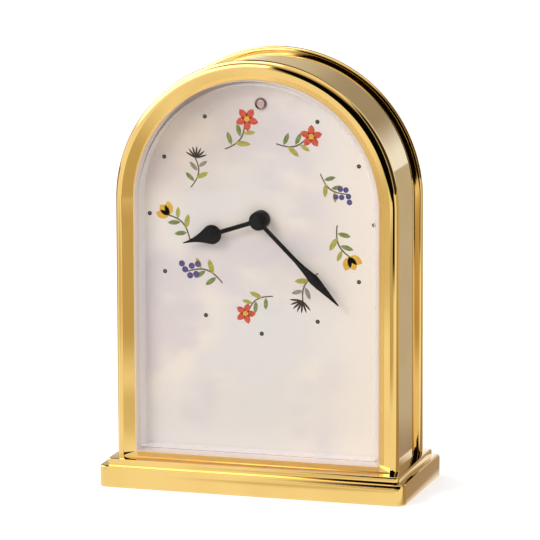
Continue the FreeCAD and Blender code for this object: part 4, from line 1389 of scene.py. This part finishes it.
    def on_ring(self, bearing: float, radius: float) -> Pair:
        """A place on the dial at a bearing in degrees and a distance from the hub."""
        turn = math.radians(bearing)
        return radius * math.sin(turn), self.hub + radius * math.cos(turn)

    def build(self) -> None:
        """Prints the dots and the wreath, and lays them on the dial."""
        shapes = []
        middle = self.dot * self.dot_centre_share
        for hour in range(1, 12):
            at = self.on_ring(30 * hour, self.ring)
            shapes.append(self.stamp(self.round, Stock.dot_ink, at, 0, (self.dot, self.dot), 1))
            shapes.append(self.stamp(self.round, Stock.dot_centre_ink, at, 0, (middle, middle), 2))
        kinds = list(Bloom)
        for index in range(self.sprigs):
            bearing = 360 / self.sprigs * (index + self.first_share)
            shapes += self.sprig(kinds[index % 4], self.on_ring(bearing, self.wreath),
                                 bearing + self.leans[index % 2], self.lengths[index % 3])
        for master in (self.leaf, self.round, self.stem):
            bpy.data.objects.remove(master)
        place_on(joined("dial_print", shapes), "case", "dial_enamel")


@dataclass
class CoverScrews:
    """The four slotted screws of the back cover, with low domed heads."""
    arch: Arch
    profile: tuple[Pair, ...] = ((0.0, 28.6), (1.2, 28.5), (2.0, 28.25), (2.42, 27.8),
                                 (2.5, 27.4), (2.5, 27.0), (1.2, 27.0), (1.2, 22.0), (0.0, 22.0))
    steps: int = 40
    slot: Place = (6.0, 1.6, 0.8)
    # Half width of the low pair, which is also the high pair's distance from the arch's
    # centre, and the height of the low pair
    reach: float = 68.8
    low: float = 30.0
    smooth_angle: float = 30.0

    def build(self) -> None:
        """Builds and dresses the screws."""
        head = turned("cover_screw", list(self.profile), Vector((0, 0, 0)), self.steps, False)
        cutter = block("slot_cutter", self.slot, (0, self.profile[0][1], 0))
        shape_with(head, "BOOLEAN", operation="DIFFERENCE", object=cutter, solver="EXACT")
        bpy.data.objects.remove(cutter)
        diagonal = self.reach * math.sqrt(0.5)
        screws = [copy_of(head, "cover_screw", Matrix.Translation(metres(side * x, 0, z)))
                  for side in (-1, 1)
                  for x, z in ((self.reach, self.low), (diagonal, self.arch.spring + diagonal))]
        bpy.data.objects.remove(head)
        piece = joined("cover_screw_set", screws)
        bpy.ops.object.shade_smooth_by_angle(angle=math.radians(self.smooth_angle))
        place_on(dress(piece, Stock.steel), "case", "steel", "cover_screws")


@dataclass
class SettingKnob:
    """The fluted setting knob with a shallow dish in its face."""
    x: float = -16.40625
    z: float = 160.72992
    face: float = 32.6
    radius: float = 7.0
    flutes: int = 20
    flute_share: float = 0.9
    rim: float = 1.8
    dish_edge: float = 0.3
    dish: float = 0.7
    length: float = 5.0

    def build(self) -> None:
        """Builds and dresses the knob."""
        centre = metres(self.x, self.face, self.z)
        points = self.flutes * 4
        piece = start_piece("setting_grip", bpy.ops.mesh.primitive_circle_add, vertices=points,
                            radius=self.radius * MM, fill_type="NGON", location=centre,
                            rotation=UPRIGHT)
        settle(piece)
        open_mesh(piece)
        hollows = [piece.data.vertices[index].co / MM for index in range(2, points, 4)]
        choose_points(piece, lambda p: any(near(p, q) for q in hollows))
        bpy.ops.transform.resize(value=(self.flute_share, 1, self.flute_share),
                                 center_override=centre)
        choose_all()
        bpy.ops.mesh.inset(thickness=self.rim * MM)
        bpy.ops.mesh.inset(thickness=self.dish_edge * MM, depth=0)
        bpy.ops.transform.translate(value=metres(0, -self.dish, 0))
        outline = self.radius * self.flute_share - MARGIN
        choose_edges(piece, lambda a, b: min((a - Vector((self.x, a.y, self.z))).length,
                                             (b - Vector((self.x, b.y, self.z))).length) > outline)
        extrude_by(metres(0, -self.length, 0))
        bpy.ops.mesh.edge_face_add()
        close_mesh(piece, Smoothing.CAST)
        place_on(dress(piece, Stock.black_satin), "setting_shaft", "black_moulding", "set_knob")


@dataclass
class Cells:
    """The three cells with their rolled rims and positive studs."""
    radius: float = 7.2
    sides: int = 48
    body: float = 49.4
    rim: float = 0.6
    rim_steps: int = 3
    stud_inset: float = 3.8
    stud: float = 1.0
    y: float = 16.9
    spacing: float = 15.0

    def build(self) -> None:
        """Builds and dresses the cells."""
        cell = start_piece("cell_master", bpy.ops.mesh.primitive_cylinder_add,
                           vertices=self.sides, radius=self.radius * MM,
                           depth=self.body * MM, location=metres(0, 0, self.body / 2))
        open_mesh(cell)
        choose_edges(cell, lambda a, b: abs(a.z - b.z) < SAME_PLACE)
        bpy.ops.mesh.bevel(offset=self.rim * MM, segments=self.rim_steps, affect="EDGES")
        choose_points(cell, lambda p: p.z > self.body - MARGIN)
        bpy.ops.mesh.inset(thickness=self.stud_inset * MM)
        extrude_by(metres(0, 0, self.stud))
        close_mesh(cell, Smoothing.TURNED)
        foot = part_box("battery_cells")[0].z
        cells = [copy_of(cell, "cell", Matrix.Translation(Vector((x * MM, self.y * MM, foot))))
                 for x in (-self.spacing, 0, self.spacing)]
        bpy.data.objects.remove(cell)
        piece = joined("cell_set", cells)
        place_on(dress(piece, Stock.jacket), "case", "cell_jacket", "battery_cells")


@dataclass
class TurnedFittings:
    """The cone, the photocell's ring and the dial nut, each turned from its profile."""
    # Radius and depth below the rear of the cone's node: dust cap, cone, roll and back
    cone: tuple[Pair, ...] = (
        (0.0, 3.2), (1.6, 3.0), (3.2, 3.4), (4.0, 4.0), (12.5, 1.2), (13.2, 0.3), (14.4, 0.1),
        (15.2, 0.5), (15.6, 0.5), (15.6, 0.9), (14.2, 0.6), (13.0, 1.4), (4.2, 4.3), (0.0, 3.7))
    ring: tuple[Pair, ...] = ((2.26, -15.7), (3.3, -15.7), (3.3, -16.2), (3.2, -16.45),
                              (3.0, -16.58), (2.75, -16.58), (2.5, -16.45), (2.26, -16.2))
    ring_height: float = 214.5
    cone_steps: int = 48
    ring_steps: int = 64
    nut_radius: float = 5.2
    nut_bore: float = 4.0
    nut_edge: float = 0.3

    def middle(self, node: str) -> tuple[Vector, float, float]:
        """The centre of a node that is symmetric in x, and the y of its front and rear."""
        low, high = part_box(node)
        return Vector((0, 0, (low.z + high.z) / 2)), low.y / MM, high.y / MM

    def build(self) -> None:
        """Builds and dresses the three pieces."""
        centre, _, rear = self.middle("speaker_cone")
        cone = turned("cone_and_cap", [(r, rear - depth) for r, depth in self.cone], centre,
                      self.cone_steps, False)
        place_on(dress(cone, Stock.paper), "case", "cone_paper", "speaker_cone")
        ring = turned("sensor_ring", list(self.ring), metres(0, 0, self.ring_height),
                      self.ring_steps)
        place_on(dress(ring, Stock.nickel), "case", "nickel", "sensor_bezel")
        centre, front, rear = self.middle("dial_nut")
        nut = turned("round_dial_nut", [
            (self.nut_bore, rear), (self.nut_radius, rear),
            (self.nut_radius, front + self.nut_edge), (self.nut_radius - self.nut_edge, front),
            (self.nut_bore, front)], centre, self.ring_steps)
        place_on(dress(nut, Stock.dark_brass), "case", "yellow_brass", "dial_nut")


class KeptNodes:
    """The nodes whose own shape is kept, each with its finish."""

    def build(self) -> None:
        """Dresses every kept node."""
        finishes = {
            Stock.felt: ["base_pad"],
            Stock.steel: ["case_bolts", "dial_clips", "motor_core", "battery_contacts",
                          "minute_arbor", "set_arbor"],
            Stock.enamel: ["dial_plate"],
            Stock.sensor: ["light_sensor"],
            Stock.black_moulding: ["movement_front_shell", "movement_rear_shell", "back_cover",
                                   "battery_tray", "battery_door"],
            Stock.black_satin: ["volume_switch", "push_switch", "drive_block"],
            Stock.satin_brass: ["train_plate"],
            Stock.nylon: ["hour_wheel", "minute_wheel", "coil_bobbin", "volume_slider"],
            Stock.red: ["push_button"],
            Stock.copper: ["coil_winding"],
            Stock.board: ["movement_board", "sound_board"],
            Stock.grey_paint: ["speaker_basket", "speaker_magnet"],
        }
        for finish, names in finishes.items():
            for name in names:
                for holder in NODES[name].material_slots:
                    holder.material = Stock.get(finish)
                LOG.info("%s: %s", name, finish.name)


@dataclass(frozen=True)
class Patch:
    """A round soft patch of tone on the floor, in metres."""
    centre: Place
    reach: Edge
    share: float
    tone: str = "C1B392"


@dataclass
class Floor:
    """The pale floor: it shows white and keeps the shadow, and the brass sees it toned.

    The places are in metres from the clock's middle. Each is where the mirrored lines of
    sight from one moulding come down.
    """
    size: float = 16.0
    paper: str = "E8E8E8"
    lift: float = 0.5
    behind: Edge = (0.03, 0.12)
    behind_tone: str = "C7BAA0"
    # A grey strip to the right of the base, for the lower part of the band
    beside: Edge = (0.086, 0.094)
    beside_depth: Span = (-0.055, -0.03, 0.09, 0.2)
    beside_tone: str = "AB9883"
    # Brown ground far behind on the left, for the left ends of the mouldings
    dusk_depth: Edge = (0.3, 0.5)
    dusk_side: Edge = (-0.16, -0.08)
    dusk_tone: str = "97805A"
    # Duller patches in front, for the sloped face, the sill and the left bead
    patches: tuple[Patch, ...] = (Patch((0.17, -0.55, 0), (0.18, 0.36), 0.9),
                                  Patch((-0.01, -0.19, 0), (0.03, 0.1), 0.55))
    left_patch: Patch = Patch((-0.55, -0.36, 0), (0.12, 0.34), 0.6)
    # The dark camera side: how far off it starts, and its span of x over distance ahead
    dark: tuple[tuple[Edge, Span], ...] = (((1.15, 1.5), (-0.26, -0.16, 1.55, 1.9)),
                                           ((0.60, 0.75), (0.5, 0.65, 1.55, 1.9)))
    dark_tone: str = "080605"
    least_ahead: float = 0.02

    def seen(self, graph: Graph) -> Field:
        """The floor's tones as the brass sees them.

        Args:
            graph: The floor's node tree.

        Returns:
            The colour.
        """
        parts = graph.add("SeparateXYZ", {0: graph.where})
        x, y = parts.at("X"), parts.at("Y")
        side = graph.add("Math", {0: x, 1: y * -1.0 | self.least_ahead}, operation="DIVIDE")
        away = graph.add("VectorMath", {0: graph.where}, operation="LENGTH").at("Value")
        far, close = (away.rise(reach) * side.within(span) for reach, span in self.dark)
        layers = [(y.rise(self.behind), self.behind_tone),
                  (x.rise(self.beside) * y.within(self.beside_depth), self.beside_tone),
                  (y.rise(self.dusk_depth) * x.fall(self.dusk_side), self.dusk_tone)]
        layers += [(self.share(graph, patch), patch.tone) for patch in self.patches]
        layers += [(far | close, self.dark_tone),
                   (self.share(graph, self.left_patch), self.left_patch.tone)]
        seen = WHITE
        for share, tone in layers:
            seen = graph.add("Mix", {0: share, 6: seen, 7: tone}, data_type="RGBA").at(2)
        return seen

    def share(self, graph: Graph, patch: Patch) -> Field:
        """How much of a patch shows at each place."""
        away = graph.add("VectorMath", {0: graph.where, 1: patch.centre}, operation="DISTANCE")
        return away.at("Value").ranged(patch.reach, patch.share, 0.0)

    def build(self) -> None:
        """Lays the floor."""
        sheet = start_piece("floor", bpy.ops.mesh.primitive_plane_add, size=self.size)
        graph = Graph(bpy.data.materials.new("pale floor"))
        rays = graph.add("LightPath")
        matt = graph.add("BsdfDiffuse", {"Color": self.paper})
        lift = graph.add("Emission", {"Color": WHITE, "Strength": self.lift})
        shown = graph.add("AddShader", {0: matt, 1: lift})
        mirror = graph.add("Emission", {"Color": self.seen(graph), "Strength": 1.0})
        plain = graph.add("MixShader", {0: rays.at("Is Camera Ray"), 1: matt, 2: shown})
        sheet.data.materials.append(graph.finish(
            graph.add("MixShader", {0: rays.at("Is Glossy Ray"), 1: plain, 2: mirror})))


@dataclass
class Room:
    """The room round the clock: white to the eye, and toned as the brass sees it.

    X, y and z here are the parts of a direction of length one. Turn is the direction's angle
    in radians from straight ahead of the dial, towards the right.
    """
    ambient: float = 0.62
    # A bright wall on the left, this many times as bright as white
    glow: float = 3.0
    glow_height: Edge = (0.21, 0.31)
    # The rear wall, in two parts, and the heights between which it is toned
    rear: Edge = (0.1, 0.5)
    rear_half: Edge = (0.31, 0.42)
    rear_left: Edge = (0.6, 0.78)
    rear_left_side: Edge = (0.0, 0.1)
    wall_foot: Edge = (0.03, 0.22)
    wall_top: Edge = (0.78, 0.88)
    wall_turn: Edge = (-0.22, 0.12)
    wall_left: str = "D6C9AC"
    wall_right: str = "A89B83"
    # Browner parts of that wall: high on the left, and all of its far left
    deep_height: Edge = (0.30, 0.42)
    deep_side: Edge = (0.0, 0.15)
    far_left: Edge = (-0.42, -0.33)
    deep_tone: str = "5E4628"
    # The dark camera side with a paler upright strip
    dark_turn: Span = (-0.29, -0.20, 2.25, 2.5)
    dark_height: Span = (-0.2, -0.1, 0.66, 0.84)
    dark_tone: str = "080605"
    dark_right: Edge = (0.9, 1.5)
    dark_right_tone: str = "37302C"
    strip: Span = (1.12, 1.2, 1.3, 1.4)
    strip_share: float = 0.6
    # The ceiling in front, paler towards its top
    roof: Edge = (0.66, 0.76)
    roof_front: Edge = (-0.16, -0.06)
    roof_top: Edge = (0.86, 0.92)
    roof_tone: str = "BFAE94"
    roof_top_tone: str = "F4F2F0"
    # A brown strip low on the far left of the rear wall
    dusk_height: Span = (-0.4, -0.3, 0.09, 0.15)
    dusk_rear: Edge = (0.4, 0.7)
    dusk_tone: str = "6A4C2A"
    # Where the bright wall ends: towards the right, and high at the rear
    dim_right: Edge = (-0.12, -0.02)
    dim_rear: Edge = (0.2, 0.36)
    dim_high: Edge = (0.7, 0.8)

    def mirrored(self, graph: Graph) -> Field:
        """The room as the brass sees it.

        Args:
            graph: The world's node tree.

        Returns:
            The background shader.
        """
        parts = graph.add("SeparateXYZ", {0: graph.where.at("Generated")})
        x, y, z = (parts.at(axis) for axis in "XYZ")
        turn = graph.add("Math", {0: x, 1: y * -1.0}, operation="ARCTAN2")
        rear = (y.rise(self.rear) * abs(x).fall(self.rear_half)
                | y.rise(self.rear_left) * x.fall(self.rear_left_side))
        deep = z.rise(self.deep_height) * x.fall(self.deep_side) | x.fall(self.far_left)
        roof = z.rise(self.roof) * y.fall(self.roof_front)
        dusk = z.within(self.dusk_height) * x.fall(self.far_left) * y.rise(self.dusk_rear)
        dark = (turn.within(self.dark_turn) * z.within(self.dark_height)
                * (1.0 - turn.within(self.strip) * self.strip_share))
        wall, roof_tone, dark_tone = (
            graph.add("Mix", {0: share, 6: first, 7: second}, data_type="RGBA").at(2)
            for share, first, second in (
                (x.rise(self.wall_turn), self.wall_left, self.wall_right),
                (z.rise(self.roof_top), self.roof_tone, self.roof_top_tone),
                (turn.rise(self.dark_right), self.dark_tone, self.dark_right_tone)))
        wall = graph.add("Mix", {0: deep, 6: wall, 7: self.deep_tone}, data_type="RGBA").at(2)
        seen = WHITE
        for share, tone in ((rear * z.rise(self.wall_foot) * z.fall(self.wall_top), wall),
                            (roof, roof_tone), (dusk, self.dusk_tone), (dark, dark_tone)):
            seen = graph.add("Mix", {0: share, 6: seen, 7: tone}, data_type="RGBA").at(2)
        dim = (rear | roof | dark | x.rise(self.dim_right)
               | y.rise(self.dim_rear) * z.rise(self.dim_high))
        glow = z.ranged(self.glow_height, 0.0, self.glow - 1) * (1.0 - dim)
        strength = graph.add("Math", {0: 1.0, 1: glow}, operation="ADD")
        return graph.add("Background", {"Color": seen, "Strength": strength})

    def build(self) -> None:
        """Sets the room up as the scene's world."""
        graph = Graph(bpy.data.worlds.new("studio"))
        mirror = self.mirrored(graph)
        white = graph.add("Background", {"Color": WHITE})
        plain = graph.add("Background", {"Color": WHITE, "Strength": self.ambient})
        rays = graph.add("LightPath")
        both = graph.add("MixShader", {0: rays.at("Is Diffuse Ray"), 1: mirror, 2: plain})
        bpy.context.scene.world = graph.finish(
            graph.add("MixShader", {0: rays.at("Is Camera Ray"), 1: both, 2: white}),
            "OutputWorld")


@dataclass(frozen=True)
class Lamp:
    """A soft square lamp: its place and side in metres, and its power in watts."""
    name: str
    place: Place
    size: float
    power: float


@dataclass
class Studio:
    """The floor, the room, the soft lamps and the camera."""
    lamps: tuple[Lamp, ...] = (Lamp("key_light", (-1.9, -2.2, 2.3), 1.3, 46.0),
                               Lamp("fill_light", (2.4, -1.6, 1.2), 1.6, 10.0))
    aim: Place = (0.0, 0.0, 120.0)
    # The camera: its bearing, height and roll in degrees, its distance in metres, its lens
    azimuth: float = 16.804
    elevation: float = 11.534
    roll: float = -0.207
    distance: float = 3.024309
    focal: float = 366.667
    sensor: float = 36.0
    # In metres: the nearest and the farthest that it sees
    clip: Edge = (0.05, 60.0)
    # How far it stands to the right and up from its line to the aim
    nudge: Pair = (0.119, -0.893)

    def build(self) -> None:
        """Builds the floor, the lamps, the room and the camera."""
        Floor().build()
        for lamp in self.lamps:
            self.hang(lamp)
        Room().build()
        self.camera()

    def hang(self, lamp: Lamp) -> None:
        """Hangs a lamp, aimed at the clock and not seen as a spot in the brass.

        Args:
            lamp: The lamp.
        """
        light = bpy.data.lights.new(lamp.name, "AREA")
        light.size = lamp.size
        light.energy = lamp.power
        holder = bpy.data.objects.new(lamp.name, light)
        holder.location = lamp.place
        aim = metres(*self.aim) - Vector(lamp.place)
        holder.rotation_euler = aim.to_track_quat("-Z", "Y").to_euler()
        holder.visible_glossy = False
        bpy.context.collection.objects.link(holder)

    def camera(self) -> None:
        """The long-lens camera at the photograph's viewing angle."""
        turn, rise = math.radians(self.azimuth), math.radians(self.elevation)
        back = Vector((math.sin(turn) * math.cos(rise), -math.cos(turn) * math.cos(rise),
                       math.sin(rise)))
        right = Vector((math.cos(turn), math.sin(turn), 0))
        up = back.cross(right)
        lean = math.radians(self.roll)
        right, up = (right * math.cos(lean) + up * math.sin(lean),
                     up * math.cos(lean) - right * math.sin(lean))
        lens = bpy.data.cameras.new("camera")
        lens.lens = self.focal
        lens.sensor_width = self.sensor
        lens.clip_start, lens.clip_end = self.clip
        holder = bpy.data.objects.new("camera", lens)
        place = (metres(*self.aim) + back * self.distance + right * self.nudge[0] * MM
                 + up * self.nudge[1] * MM)
        facing = Matrix((right, up, back)).transposed().to_4x4()
        holder.matrix_world = Matrix.Translation(place) @ facing
        bpy.context.collection.objects.link(holder)
        scene = bpy.context.scene
        scene.camera = holder
        scene.view_settings.view_transform = "Standard"


def main() -> None:
    """Builds the clock's looks in order."""
    logging.basicConfig(level=logging.INFO, format="%(message)s")
    arch = Arch()
    for part in (Case(arch), Base(), Crystal(arch), Hands(), DialPrint(), CoverScrews(arch),
                 SettingKnob(), Cells(), TurnedFittings(), KeptNodes(), Studio()):
        LOG.info("building %s", type(part).__name__)
        part.build()


if __name__ == "__main__":
    main()
